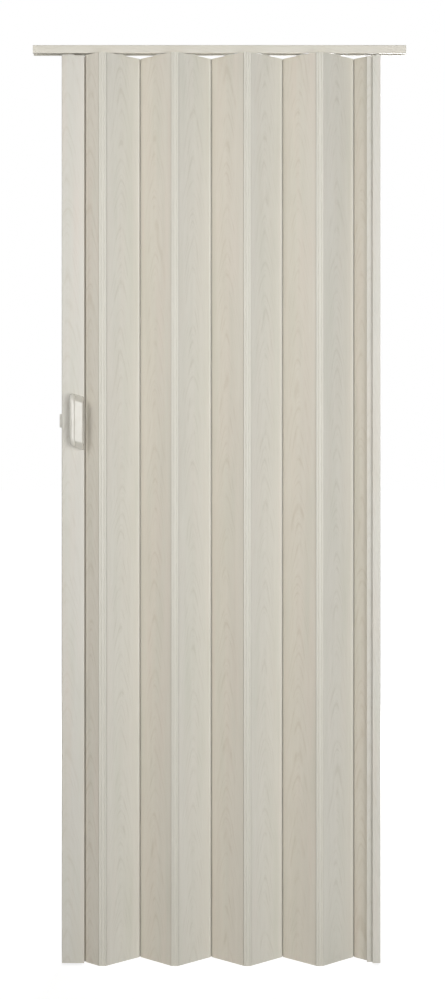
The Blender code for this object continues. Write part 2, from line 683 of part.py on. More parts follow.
def make_hangers(jamb, stile):
    """The hangers of the closing stile and of the jamb."""
    half = POST_INSIDE_HALF - SEAT_GAP
    rib_left = -STILE_RIB_PLACE - STILE_RIB / 2
    left = -STILE_WIDTH + POST_WALL + SEAT_GAP
    centre = (left + rib_left - SEAT_GAP) / 2
    block_x = (left - centre, rib_left - SEAT_GAP - centre)
    flange_x = (block_x[0] - POST_WALL / 2, block_x[1] + STILE_RIB / 2)
    flange_y = POST_INSIDE_HALF + POST_WALL / 2
    mesh = hanger_mesh(block_x, (-half, half), flange_x, (-flange_y, flange_y))
    mesh_object("stile_hanger", mesh, stile, (centre, 0.0, 0.0), (0, 0, 0), NYLON)
    near = PARTITION_SETBACK + POST_WALL + SEAT_GAP
    far = JAMB_WIDTH - CHANNEL_WALL - SEAT_GAP
    middle = (near + far) / 2
    inside = half - CHANNEL_WALL - SEAT_GAP
    block_x = (near - middle, far - middle)
    flange_x = (block_x[0] - POST_WALL / 2, block_x[1] + CHANNEL_WALL / 2)
    mesh = hanger_mesh(block_x, (-inside, inside), flange_x, (-flange_y, flange_y))
    mesh_object("jamb_hanger", mesh, jamb, (middle, 0.0, 0.0), (0, 0, 0), NYLON)


# Bow handle
def handle_bar():
    """The round bar of the bow, from one foot to the other, in the handle's own frame.

    +Y stands proud of the stile here, and the bar lies at the +X side.
    """
    reach = HANDLE_PROUD - HANDLE_BAR_RADIUS
    rise = HANDLE_LENGTH / 2 - HANDLE_BAR_RADIUS - SEAT_GAP
    bend = HANDLE_BAR_BEND
    upper = arc(reach - bend, rise - bend, bend, QUARTER, 0.0, SHORT_ARC_STEPS)
    route = [(-CUT_OVERRUN, rise)] + upper + [(y, -z) for y, z in reversed(upper)] + [(-CUT_OVERRUN, -rise)]
    curve = bpy.data.curves.new("bar", "CURVE")
    curve.dimensions = "3D"
    curve.bevel_depth = HANDLE_BAR_RADIUS
    curve.bevel_resolution = 4
    curve.use_fill_caps = True
    spline = curve.splines.new("POLY")
    spline.points.add(len(route) - 1)
    x = HANDLE_WIDTH / 2 - HANDLE_BAR_RADIUS
    for point, (y, z) in zip(spline.points, route):
        point.co = (x, y, z, 1.0)
    return solid_mesh(curve)


def handle_blade():
    """The flat thumb plate beside the bar, a bow outline with sloped ends and rounded edges."""
    top = HANDLE_LENGTH / 2
    face = HANDLE_PROUD - HANDLE_BLADE_DROP
    gap_depth = face - HANDLE_BLADE_THICKNESS
    gap_top = top - HANDLE_FOOT
    corner = HANDLE_BLADE_THICKNESS
    upper = [(-CUT_OVERRUN, gap_top)]
    upper += arc(gap_depth - corner, gap_top - corner, corner, QUARTER, 0.0, CORNER_STEPS + 1)
    lower = [(y, -z) for y, z in reversed(upper)]
    outer = [(-CUT_OVERRUN, -top), (HANDLE_BLADE_THICKNESS, -top), (face, HANDLE_BLADE_SLOPE - top)]
    outer += [(y, -z) for y, z in reversed(outer)]
    side = HANDLE_WIDTH - HANDLE_BAR_RADIUS
    curve = outline_curve("blade", [upper + lower + outer], side)
    edge = Matrix.Rotation(QUARTER, 4, "Z") @ Matrix.Rotation(QUARTER, 4, "X")
    mesh = solid_mesh(curve, Matrix.Translation((side / 2 - HANDLE_WIDTH / 2, 0.0, 0.0)) @ edge)
    shape = bmesh.new()
    shape.from_mesh(mesh)
    bmesh.ops.dissolve_limit(shape, angle_limit=FLAT_ANGLE, verts=shape.verts, edges=shape.edges)
    limit = -HANDLE_WIDTH / 2 + HANDLE_EDGE_ROUNDING
    edges = [e for e in shape.edges if all(v.co.x < limit for v in e.verts)]
    bmesh.ops.bevel(
        shape, geom=edges, offset=HANDLE_EDGE_ROUNDING, segments=2, profile=0.5, affect="EDGES", material=-1
    )
    shape.to_mesh(mesh)
    shape.free()
    return mesh


def handle_screw_bore(height, through):
    """The cutter of one screw's way through a foot, along Y.

    The rear handle is bored through and counterbored, and the front one holds the screw's tip.
    """
    bore, far = HANDLE_SCREW_RADIUS + STEM_CLEARANCE, HANDLE_PROUD + CUT_OVERRUN
    if through:
        head = HANDLE_SCREW_HEAD_RADIUS + STEM_CLEARANCE
        profile = [(0.0, far), (head, far), (head, HANDLE_SCREW_SEAT), (bore, HANDLE_SCREW_SEAT)]
    else:
        profile = [(0.0, HANDLE_SCREW_BITE + SEAT_GAP), (bore, HANDLE_SCREW_BITE + SEAT_GAP)]
    profile += [(bore, -CUT_OVERRUN), (0.0, -CUT_OVERRUN)]
    mesh = turned(profile)
    mesh.transform(Matrix.Translation((0.0, 0.0, height)) @ Matrix.Rotation(-QUARTER, 4, "X"))
    return mesh


def handle_mesh(through):
    """The whole moulding: bar and blade fused, cut level at the feet, bored and slanted."""
    half, tall = HANDLE_WIDTH, HANDLE_LENGTH
    foot = prism([box_outline(-half, half, -HANDLE_PROUD, SEAT_GAP)], -tall, tall)
    mesh = combine(handle_blade(), [("UNION", handle_bar()), ("DIFFERENCE", foot)])
    slant = Matrix.Identity(4)
    slant[2][0] = HANDLE_SLANT
    mesh.transform(slant)
    bores = [handle_screw_bore(side * HANDLE_AXIS_SPACING_HALF, through) for side in (-1, 1)]
    return combine(mesh, [("DIFFERENCE", gathered(bores))])


def handle_screw_mesh():
    """A pan-head screw along +Z, its head's seat at the origin."""
    head, height = HANDLE_SCREW_HEAD_RADIUS, HANDLE_SCREW_HEAD_HEIGHT
    length = HANDLE_SCREW_SEAT + POST_THICKNESS + HANDLE_SCREW_BITE
    tip = HANDLE_SCREW_RADIUS
    profile = [(0.0, length), (tip / 2, length), (tip, length - tip), (tip, 0.0), (head, 0.0)]
    profile += [(head, -height / 2), (head * HANDLE_SCREW_HEAD_TOP_SHARE, -height), (0.0, -height)]
    return turned(profile)


def make_handles(stile):
    """Front and rear handles and the two screws that go through the stile from the rear."""
    where = (-HANDLE_PLACE, -POST_HALF, HANDLE_HEIGHT)
    mesh_object("handle_front", handle_mesh(False), stile, where, (0, 0, math.pi), HANDLE_PLASTIC)
    where = (-HANDLE_PLACE, POST_HALF, HANDLE_HEIGHT)
    mesh_object("handle_rear", handle_mesh(True), stile, where, (0, 0, 0), HANDLE_PLASTIC)
    seat = POST_HALF + HANDLE_SCREW_SEAT + SEAT_GAP
    mesh = handle_screw_mesh()
    for name, side in (("handle_screw_upper", 1), ("handle_screw_lower", -1)):
        where = (-HANDLE_PLACE, seat, HANDLE_HEIGHT + side * HANDLE_AXIS_SPACING_HALF)
        mesh_object(name, mesh, stile, where, (QUARTER, 0, 0), ZINC_STEEL)


# Spring latch
def latch_case_mesh():
    """The case behind the stile's closing wall, open towards it, with screw holes above and below the bolt."""
    front = -STILE_WIDTH + POST_WALL + SEAT_GAP
    back = front + LATCH_CASE_DEPTH
    half = POST_INSIDE_HALF - SEAT_GAP
    low, high = LATCH_HEIGHT - LATCH_CASE_HEIGHT / 2, LATCH_HEIGHT + LATCH_CASE_HEIGHT / 2
    flange = LATCH_NOSE_THICKNESS / 2 + LATCH_BOLT_FLANGE_MARGIN + LATCH_CLEARANCE
    rise = LATCH_NOSE_HEIGHT / 2 + LATCH_BOLT_FLANGE_MARGIN + LATCH_CLEARANCE
    pocket = box_outline(front - CUT_OVERRUN, back - LATCH_CASE_WALL, -flange, flange)
    cuts = [prism([pocket], LATCH_HEIGHT - rise, LATCH_HEIGHT + rise)]
    bore, depth = LATCH_SCREW_RADIUS + STEM_CLEARANCE, LATCH_SCREW_LENGTH + SEAT_GAP
    for side in (-1, 1):
        height = LATCH_HEIGHT + side * LATCH_SCREW_SPACING / 2
        turn = Matrix.Translation((front, 0.0, height)) @ Matrix.Rotation(QUARTER, 4, "Y")
        cuts.append(rod(bore, -CUT_OVERRUN, depth, turn))
    case = prism([box_outline(front, back, -half, half)], low, high)
    return combine(case, [("DIFFERENCE", gathered(cuts))])


def latch_bolt_mesh():
    """Nose, stop flange and spring pin. The slide's axis is the local X, and the stile's edge is at zero."""
    half, rise = LATCH_NOSE_THICKNESS / 2, LATCH_NOSE_HEIGHT / 2
    reach = LATCH_NOSE_REACH
    flange_front, flange_back = LATCH_FLANGE_FRONT, LATCH_FLANGE_BACK
    shoulder, tip = -reach * LATCH_NOSE_SHOULDER_SHARE, half * LATCH_NOSE_TIP_SHARE
    nose = [(flange_back, half), (shoulder, half), (-reach, tip)]
    nose += [(-reach, -tip), (shoulder, -half), (flange_back, -half)]
    body = prism([nose], -rise, rise)
    margin = LATCH_BOLT_FLANGE_MARGIN
    flange = box_outline(flange_front, flange_back, -half - margin, half + margin)
    along_x = Matrix.Rotation(QUARTER, 4, "Y")
    pin = rod(LATCH_PIN_RADIUS, flange_front, flange_back + LATCH_PIN_LENGTH, along_x)
    steps = [("UNION", prism([flange], -rise - margin, rise + margin)), ("UNION", pin)]
    return combine(body, steps)


def latch_spring_curve():
    """The compression spring between the bolt's flange and the back of the case."""
    start, end = LATCH_SPRING_START, LATCH_SPRING_END
    wire = LATCH_SPRING_WIRE_RADIUS
    steps = LATCH_SPRING_TURNS * LATCH_SPRING_POINTS_PER_TURN
    curve = bpy.data.curves.new("latch_spring", "CURVE")
    curve.dimensions = "3D"
    curve.bevel_depth = wire
    curve.bevel_resolution = 1
    curve.use_fill_caps = True
    spline = curve.splines.new("POLY")
    spline.points.add(steps)
    for step, point in enumerate(spline.points):
        angle = 2 * math.pi * step / LATCH_SPRING_POINTS_PER_TURN
        x = start + wire + (end - start - 2 * wire) * step / steps
        point.co = (x, LATCH_SPRING_RADIUS * math.cos(angle), LATCH_SPRING_RADIUS * math.sin(angle), 1.0)
    return curve


def latch_screw_mesh(clearance=0.0, overrun=0.0):
    """A countersunk screw along -Z, its head's flat face at the origin, or its hole's cutter."""
    head, shank = LATCH_SCREW_HEAD_RADIUS + clearance, LATCH_SCREW_RADIUS + clearance
    length = LATCH_SCREW_LENGTH + clearance
    profile = [(0.0, overrun), (head, overrun), (head, 0.0)] if overrun else [(0.0, 0.0), (head, 0.0)]
    profile += [(shank, shank - head), (shank, shank - length), (0.0, -length)]
    return turned(profile)


def make_latch(stile, bolt_axis):
    """Case, bolt, spring and the case's screws."""
    mesh_object("latch_case", latch_case_mesh(), stile, (0, 0, 0), (0, 0, 0), LATCH_PLASTIC)
    mesh_object("latch_bolt", latch_bolt_mesh(), bolt_axis, (0, 0, 0), (0, 0, 0), LATCH_PLASTIC)
    spring = bpy.data.objects.new("latch_spring", latch_spring_curve())
    place(spring, stile, (-STILE_WIDTH, 0.0, LATCH_HEIGHT), (0, 0, 0), ZINC_STEEL)
    mesh = latch_screw_mesh()
    for name, side in (("latch_screw_upper", 1), ("latch_screw_lower", -1)):
        where = (-STILE_WIDTH, 0.0, LATCH_HEIGHT + side * LATCH_SCREW_SPACING / 2)
        mesh_object(name, mesh, stile, where, (0, -QUARTER, 0), ZINC_STEEL)


# Fold
def build_fold(jamb):
    """The chain of panels and strips from the jamb to the closing stile. Returns the stile's empty.

    Panels are numbered from the closing stile, so the chain runs down from the last one. In each body's
    frame -X leads on to the next piece. An even panel leans forward from its axis, an odd one leans back.
    """
    full, chamber = full_panel_section()
    half = half_panel_section()
    full_curve = outline_curve("full_panel", shifted(full, -PANEL_PITCH / 2), PANEL_HEIGHT)
    half_curve = outline_curve("half_panel", shifted(half, -HALF_PITCH / 2), PANEL_HEIGHT)
    strip_curve = outline_curve("hinge_strip", strip_section(), PANEL_HEIGHT)
    glider, plug = glider_mesh(), plug_mesh(chamber)
    last = FULL_PANELS + 2
    body = axis_empty("axis_half_panel_jamb", jamb, (0, 0, 0), -FOLD_ANGLE)
    make_panel("half_panel_jamb", half_curve, body, (0.0, 0.0, 0.0))
    next_axis = -HALF_PITCH
    lean = -FOLD_ANGLE
    for number in range(last - 1, 0, -1):
        at_front = number % 2 == 1
        strip_name = f"hinge_strip_{number}"
        body = axis_empty(f"axis_{strip_name}", body, (next_axis, 0, 0), -lean)
        make_strip(strip_name, strip_curve, body, at_front)
        lean = -lean
        name = f"panel_{number}" if number > 1 else "half_panel_lead"
        body = axis_empty(f"axis_{name}", body, (-STRIP_AXIS_SPACING, 0, 0), lean)
        if number == 1:
            make_panel(name, half_curve, body, (0.0, 0.0, math.pi), -HALF_PITCH)
            next_axis = -HALF_PITCH
            continue
        make_panel(name, full_curve, body, (math.pi if at_front else 0.0, 0.0, 0.0))
        next_axis = -PANEL_PITCH
        middle = (-PANEL_PITCH / 2, 0, 0)
        mesh_object(f"glider_plug_{number}", plug, body, middle, (0, 0, 0), NYLON)
        slider = axis_empty(f"axis_glider_{number}", body, middle, -lean)
        mesh_object(f"glider_{number}", glider, slider, (0, 0, 0), (0, 0, 0), NYLON)
    return axis_empty("axis_stile", body, (next_axis, 0, 0), -lean)


def main():
    """Builds the fixed rail and jamb, then the fold and all that the stile carries."""
    root = axis_empty("folding_door", None, (0, 0, 0))
    make_rail(root)
    jamb = axis_empty("axis_jamb", root, (JAMB_AXIS_X, 0, 0))
    make_jamb(jamb)
    stile = build_fold(jamb)
    make_stile(stile)
    make_hangers(jamb, stile)
    make_handles(stile)
    make_latch(stile, axis_empty("axis_latch", stile, (-STILE_WIDTH, 0, LATCH_HEIGHT)))


main()
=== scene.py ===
"""An accordion folding door, dressed: hollow wood-grain PVC panels on snap-in hinge strips, under a C-rail.

Frame: metres, +Z up, X along the rail, the front faces -Y, the origin at floor level below the rail's middle.
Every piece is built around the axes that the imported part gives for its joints, and stands for one CAD node.
"""

import json
import logging
import math
from collections.abc import Callable, Iterable
from dataclasses import dataclass, field
from enum import Enum, IntEnum
from functools import partial

import bmesh
import bpy
from mathutils import Matrix, Vector


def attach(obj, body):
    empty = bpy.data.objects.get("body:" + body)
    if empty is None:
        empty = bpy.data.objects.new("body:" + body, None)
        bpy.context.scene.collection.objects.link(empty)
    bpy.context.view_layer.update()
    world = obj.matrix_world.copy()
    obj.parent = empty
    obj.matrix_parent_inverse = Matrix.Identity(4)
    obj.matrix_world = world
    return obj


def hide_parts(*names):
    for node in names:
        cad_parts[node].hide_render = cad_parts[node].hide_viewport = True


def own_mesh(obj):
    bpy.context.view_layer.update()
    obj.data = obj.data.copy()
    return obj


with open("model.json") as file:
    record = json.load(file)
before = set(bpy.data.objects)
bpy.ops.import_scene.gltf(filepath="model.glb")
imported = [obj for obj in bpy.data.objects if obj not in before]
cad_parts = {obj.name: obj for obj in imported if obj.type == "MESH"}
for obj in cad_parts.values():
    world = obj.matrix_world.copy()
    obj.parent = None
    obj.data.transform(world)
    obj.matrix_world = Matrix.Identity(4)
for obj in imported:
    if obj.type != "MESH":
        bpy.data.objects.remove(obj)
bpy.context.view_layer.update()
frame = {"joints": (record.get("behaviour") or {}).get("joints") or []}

LOG = logging.getLogger("folding_door")
MM = 0.001
QUARTER = math.pi / 2
SMOOTH_ANGLE = math.radians(32)  # edges that turn by more stay sharp
WELD = 0.002 * MM  # points that are nearer than this are one
PRINT_STRIDE = 7.31  # keeps the prints of two planks apart in the noise
REAR_SHIFT = 0.37  # the rear face's print, in planks from the front's
PLANK_RISE = 0.173  # how much higher each plank's print starts, in metres

Point = tuple[float, float]
Place = tuple[float, float, float]
Outline = list[Point]
SkinOf = Callable[[float, float, float, float], int]


# Colour and node helpers
def linear(colour: str) -> tuple[float, float, float, float]:
    """Turns an sRGB hex value into the linear colour that a shader socket takes.

    Args:
        colour: Six hex digits after a hash, such as "#dad6cb".

    Returns:
        Red, green, blue and an alpha of one.
    """
    channels = [int(colour[i : i + 2], 16) / 255 for i in (1, 3, 5)]
    return (*(c / 12.92 if c <= 0.04045 else ((c + 0.055) / 1.055) ** 2.4 for c in channels), 1.0)


def add_node(
    tree: bpy.types.NodeTree, kind: str, settings: dict | None = None, inputs: dict | None = None
) -> bpy.types.Node:
    """Adds one shader node with its settings, its values and its links.

    Args:
        tree: The node tree that gets it.
        kind: The node's type, without its ShaderNode prefix.
        settings: Attributes of the node.
        inputs: A value or another node's output for each input, by its name or number.

    Returns:
        The new node.
    """
    node = tree.nodes.new("ShaderNode" + kind)
    for name, value in (settings or {}).items():
        setattr(node, name, value)
    for key, value in (inputs or {}).items():
        if isinstance(value, bpy.types.NodeSocket):
            tree.links.new(value, node.inputs[key])
        else:
            node.inputs[key].default_value = value
    return node


# Finishes
@dataclass(frozen=True)
class Layer:
    """A layer of noise that is drawn out along a profile.

    A fibre's width and length are in millimetres, and 0 makes it endless. Detail counts the finer octaves, and
    the seed moves the layer, so that two of them differ.
    """

    across: float
    along: float
    detail: float
    seed: float


@dataclass(frozen=True)
class Finish:
    """A material of the door. Its subclasses add the pattern that the real one shows."""

    name: str
    slot: str
    colour: str
    roughness: float
    ior: float = 1.53
    metallic: float = 0.0

    def make(self) -> bpy.types.Material:
        """Makes the Blender material, or returns the one that was made before.

        Returns:
            The material.
        """
        found = bpy.data.materials.get(self.name)
        if found:
            return found
        material = bpy.data.materials.new(self.name)
        material.use_nodes = True
        shader = material.node_tree.nodes["Principled BSDF"]
        shader.inputs["Base Color"].default_value = linear(self.colour)
        shader.inputs["Roughness"].default_value = self.roughness
        shader.inputs["Metallic"].default_value = self.metallic
        if not self.metallic:
            shader.inputs["IOR"].default_value = self.ior
        self.pattern(material.node_tree, shader)
        return material

    def pattern(self, tree: bpy.types.NodeTree, shader: bpy.types.Node) -> None:
        """Adds this finish's own colour, roughness and bump.

        Args:
            tree: The material's node tree.
            shader: The Principled shader that takes the pattern.
        """

    def fibres(self, tree: bpy.types.NodeTree, layer: Layer) -> bpy.types.NodeSocket:
        """Noise that is drawn out along a profile, read from the piece's own grain attribute.

        Args:
            tree: The node tree.
            layer: The fibres' size and seed.

        Returns:
            A value about 0.5.
        """
        grain = add_node(tree, "Attribute", {"attribute_name": "grain"}).outputs["Vector"]
        across, along = (1 / (size * MM) if size else 0.0 for size in (layer.across, layer.along))
        shift = (layer.seed, layer.seed, 0)
        laid = {"Vector": grain, "Scale": (across, along, PRINT_STRIDE), "Location": shift}
        laid = add_node(tree, "Mapping", None, laid).outputs["Vector"]
        noise = {"Vector": laid, "Scale": 1.0, "Detail": layer.detail, "Roughness": 0.55}
        return add_node(tree, "TexNoise", None, noise).outputs["Fac"]

    def grit(self, tree: bpy.types.NodeTree, size: float, detail: float) -> bpy.types.NodeSocket:
        """Even noise in the piece's own place.

        Args:
            tree: The node tree.
            size: One grain's size, in millimetres.
            detail: How many finer octaves there are.

        Returns:
            A value about 0.5.
        """
        place = add_node(tree, "TexCoord").outputs["Object"]
        noise = {"Vector": place, "Scale": 1 / (size * MM), "Detail": detail, "Roughness": 0.5}
        return add_node(tree, "TexNoise", None, noise).outputs["Fac"]


@dataclass(frozen=True)
class AshFilm(Finish):
    """Pale ash print under a clear embossed PVC film, calendered onto the profile.

    To the eye: thin darker growth rings that the flat cut closes into arches, one above the other along the
    middle of each face, very fine upright fibres, a slight drift between pinkish and greenish grey, and a satin
    surface whose pores only just catch the light.
    """

    dark: str = "#b9ae99"
    blush: str = "#dccdc0"
    moss: str = "#c9cbbb"
    # Ash fibres and pores are about 0.2 mm wide. Both are drawn four times as coarse, so that they show.
    fibre: Layer = Layer(0.8, 60.0, 3.0, 0.0)
    pores: Layer = Layer(0.9, 14.0, 2.0, 5.5)
    # Broad paler and darker bands, and the two hues' drift, as wide as the growth of a few years.
    cloud: Layer = Layer(9.0, 240.0, 3.0, 3.7)
    blush_drift: Layer = Layer(26.0, 320.0, 1.0, 9.1)
    moss_drift: Layer = Layer(26.0, 320.0, 1.0, 17.3)
    # The extruded wall waves this slowly.
    wave: Layer = Layer(30.0, 420.0, 1.0, 2.2)
    # Ash rings are 2 to 6 mm wide. The strong lines are drawn 8.5 mm apart, as coarse as they need to be to show,
    # with fine ones at a third of that between them.
    ring_spacing: float = 8.5
    ring_taper: float = 0.2
    ring_strength: float = 0.36
    fine_rings: float = 0.45
    fine_per_ring: float = 3.0
    unevenness: float = 16.0
    # How the trunk's pith wanders below the cut and to its sides, and where the rings fade.
    pith_depth: Layer = Layer(0.0, 170.0, 1.0, 11.0)
    pith_sway: Layer = Layer(0.0, 110.0, 1.0, 21.0)
    patches: Layer = Layer(16.0, 45.0, 1.0, 31.0)

    def pattern(self, tree: bpy.types.NodeTree, shader: bpy.types.Node) -> None:
        """Rings, fibres, hue drift, pores and the slight waviness of an extruded wall.

        Args:
            tree: The material's node tree.
            shader: The Principled shader that takes the pattern.
        """
        add = partial(add_node, tree)
        fibre = self.fibres(tree, self.fibre)
        streak = {"Value": fibre, "From Min": 0.45, "From Max": 0.75, "To Max": 0.16}
        shade = {"Value": self.fibres(tree, self.cloud), "From Min": 0.4, "From Max": 0.72, "To Max": 0.12}
        shares = [add("MapRange", None, layer).outputs["Result"] for layer in (streak, shade)]
        tone = add("Math", {"operation": "ADD"}, dict(enumerate(shares))).outputs[0]
        tone = add("Math", {"operation": "ADD"}, {0: tone, 1: self.rings(tree, fibre)}).outputs[0]
        colours = {0: tone, 6: linear(self.colour), 7: linear(self.dark)}
        wood = add("Mix", {"data_type": "RGBA"}, colours).outputs[2]
        for hue, layer in ((self.blush, self.blush_drift), (self.moss, self.moss_drift)):
            drift = {"Value": self.fibres(tree, layer), "From Min": 0.45, "From Max": 0.8, "To Max": 0.28}
            share = add("MapRange", None, drift).outputs["Result"]
            wood = add("Mix", {"data_type": "RGBA"}, {0: share, 6: wood, 7: linear(hue)}).outputs[2]
        tree.links.new(wood, shader.inputs["Base Color"])
        soft = {"Height": self.fibres(tree, self.wave), "Distance": 0.3 * MM, "Strength": 0.3}
        soft = add("Bump", None, soft).outputs["Normal"]
        pores = self.fibres(tree, self.pores)
        fine = {"Height": pores, "Distance": 0.05 * MM, "Strength": 0.35, "Normal": soft}
        tree.links.new(add("Bump", None, fine).outputs["Normal"], shader.inputs["Normal"])

    def rings(self, tree: bpy.types.NodeTree, fibre: bpy.types.NodeSocket) -> bpy.types.NodeSocket:
        """Growth rings of a tapering trunk, cut flat a little way from its pith.

        Args:
            tree: The node tree.
            fibre: Noise that makes a ring's line waver.

        Returns:
            How much of the dark colour a ring's line adds.
        """
        add = partial(add_node, tree)
        grain = add("Attribute", {"attribute_name": "grain"}).outputs["Vector"]
        split = add("SeparateXYZ", None, {"Vector": grain}).outputs
        # The distance of each point from the pith, which wavers with the fibres and grows along the taper.
        below = {"Value": self.fibres(tree, self.pith_depth), "From Min": 0.3, "From Max": 0.7}
        below = add("MapRange", None, {**below, "To Min": 7 * MM, "To Max": 16 * MM}).outputs["Result"]
        sway = {"Value": self.fibres(tree, self.pith_sway), "From Min": 0.25, "From Max": 0.75}
        sway = add("MapRange", None, {**sway, "To Min": -4 * MM, "To Max": 4 * MM}).outputs["Result"]
        place = add("Math", {"operation": "ADD"}, {0: split["X"], 1: sway}).outputs[0]
        plan = add("CombineXYZ", None, {"X": place, "Y": below}).outputs["Vector"]
        radius = add("VectorMath", {"operation": "LENGTH"}, {0: plan}).outputs["Value"]
        waver = {"Value": fibre, "From Min": 0.3, "From Max": 0.7, "To Min": -0.5 * MM, "To Max": 0.5 * MM}
        waver = add("MapRange", None, waver).outputs["Result"]
        radius = add("Math", {"operation": "ADD"}, {0: radius, 1: waver}).outputs[0]
        tapered = {0: split["Y"], 1: self.ring_taper, 2: radius}
        depth = add("Math", {"operation": "MULTIPLY_ADD"}, tapered).outputs[0]
        # Years of uneven width, as a phase.
        years = add("CombineXYZ", None, {"X": depth, "Y": split["Z"]}).outputs["Vector"]
        uneven = {"Vector": years, "Scale": 0.4 / (self.ring_spacing * MM), "Detail": 1.0}
        uneven = add("TexNoise", {"noise_dimensions": "2D"}, uneven).outputs["Fac"]
        turns = {0: depth, 1: 2 * math.pi / (self.ring_spacing * MM)}
        turns = add("Math", {"operation": "MULTIPLY"}, turns).outputs[0]
        phase = add("Math", {"operation": "MULTIPLY_ADD"}, {0: uneven, 1: self.unevenness, 2: turns}).outputs[0]
        # The late wood's line, with finer lines between.
        wave = add("Math", {"operation": "SINE"}, {0: phase}).outputs[0]
        line = {"Value": wave, "From Min": 0.7}
        line = add("MapRange", {"interpolation_type": "SMOOTHSTEP"}, line).outputs["Result"]
        ripple = add("Math", {"operation": "MULTIPLY"}, {0: phase, 1: self.fine_per_ring}).outputs[0]
        ripple = add("Math", {"operation": "SINE"}, {0: ripple}).outputs[0]
        ripple = {"Value": ripple, "From Min": 0.2, "To Max": self.fine_rings}
        ripple = add("MapRange", None, ripple).outputs["Result"]
        line = add("Math", {"operation": "MAXIMUM"}, {0: line, 1: ripple}).outputs[0]
        # It comes and goes in patches, and fades towards the edges of the face.
        patches = {"Value": self.fibres(tree, self.patches), "From Min": 0.38, "From Max": 0.62}
        patchy = add("MapRange", None, {**patches, "To Min": 0.1}).outputs["Result"]
        aside = add("Math", {"operation": "ABSOLUTE"}, {0: place}).outputs[0]
        fade = {"Value": aside, "From Min": 14 * MM, "From Max": 34 * MM, "To Min": self.ring_strength}
        faded = add("MapRange", None, {**fade, "To Max": 0.25 * self.ring_strength}).outputs["Result"]
        line = add("Math", {"operation": "MULTIPLY"}, {0: line, 1: patchy}).outputs[0]
        return add("Math", {"operation": "MULTIPLY"}, {0: line, 1: faded}).outputs[0]


@dataclass(frozen=True)
class ExtrudedPVC(Finish):
    """Plain PVC as it leaves the die: satin, with faint straight lines along it and a slow waviness."""

    dark: str = "#cdc9bb"
    line_contrast: float = 0.6
    # A die's lines are 0.1 to 0.5 mm apart. They are drawn at 1.3 mm, so that they show.
    lines: Layer = Layer(1.3, 0.0, 2.0, 1.9)
    cloud: Layer = Layer(22.0, 260.0, 2.0, 6.4)

    def pattern(self, tree: bpy.types.NodeTree, shader: bpy.types.Node) -> None:
        """Die lines in colour and bump.

        Args:
            tree: The material's node tree.
            shader: The Principled shader that takes the pattern.
        """
        add = partial(add_node, tree)
        lines, cloud = self.fibres(tree, self.lines), self.fibres(tree, self.cloud)
        both = add("Math", {"operation": "MULTIPLY_ADD"}, {0: lines, 1: 0.5, 2: cloud}).outputs[0]
        share = {"Value": both, "From Min": 0.55, "From Max": 1.05, "To Max": self.line_contrast}
        share = add("MapRange", None, share).outputs["Result"]
        colours = {0: share, 6: linear(self.colour), 7: linear(self.dark)}
        tree.links.new(add("Mix", {"data_type": "RGBA"}, colours).outputs[2], shader.inputs["Base Color"])
        slow = {"Height": cloud, "Distance": 0.25 * MM, "Strength": 0.15}
        slow = add("Bump", None, slow).outputs["Normal"]
        fine = {"Height": lines, "Distance": 0.02 * MM, "Strength": 0.2, "Normal": slow}
        tree.links.new(add("Bump", None, fine).outputs["Normal"], shader.inputs["Normal"])


@dataclass(frozen=True)
class MouldedPlastic(Finish):
    """Injection-moulded plastic with a fine spark-eroded grain and, if it is polished, a thin even gloss."""

    cloud: str = "#dbd6ca"
    cloud_size: float = 18.0
    # A spark-eroded grain measures 0.1 to 0.2 mm. It is drawn at 0.6 mm, so that it shows.
    grain_size: float = 0.6
    grain_depth: float = 0.012
    sheen_coat: float = 0.0
    coat_roughness: float = 0.18

    def pattern(self, tree: bpy.types.NodeTree, shader: bpy.types.Node) -> None:
        """The mould's grain as bump, and a slight cloudiness from the melt's flow.

        Args:
            tree: The material's node tree.
            shader: The Principled shader that takes the pattern.
        """
        add = partial(add_node, tree)
        grit = self.grit(tree, self.grain_size, 2.0)
        flow = {"Value": self.grit(tree, self.cloud_size, 2.0), "From Min": 0.35, "From Max": 0.7}
        share = add("MapRange", None, flow).outputs["Result"]
        colours = {0: share, 6: linear(self.colour), 7: linear(self.cloud)}
        tree.links.new(add("Mix", {"data_type": "RGBA"}, colours).outputs[2], shader.inputs["Base Color"])
        rough = {"Value": grit, "To Min": self.roughness * 0.8, "To Max": self.roughness * 1.2}
        tree.links.new(add("MapRange", None, rough).outputs["Result"], shader.inputs["Roughness"])
        shader.inputs["Coat Weight"].default_value = self.sheen_coat
        shader.inputs["Coat Roughness"].default_value = self.coat_roughness
        bump = {"Height": grit, "Distance": self.grain_depth * MM, "Strength": 0.5}
        tree.links.new(add("Bump", None, bump).outputs["Normal"], shader.inputs["Normal"])


@dataclass(frozen=True)
class NaturalNylon(MouldedPlastic):
    """Unfilled nylon 6: milky, slightly see-through at its thin edges."""

    scatter: float = 0.12

    def pattern(self, tree: bpy.types.NodeTree, shader: bpy.types.Node) -> None:
        """A moulded surface over a little light that enters and comes out again.

        Args:
            tree: The material's node tree.
            shader: The Principled shader that takes the pattern.
        """
        super().pattern(tree, shader)
        shader.inputs["Subsurface Weight"].default_value = self.scatter
        shader.inputs["Subsurface Scale"].default_value = 2 * MM
        shader.inputs["Subsurface Radius"].default_value = (1.0, 0.9, 0.7)


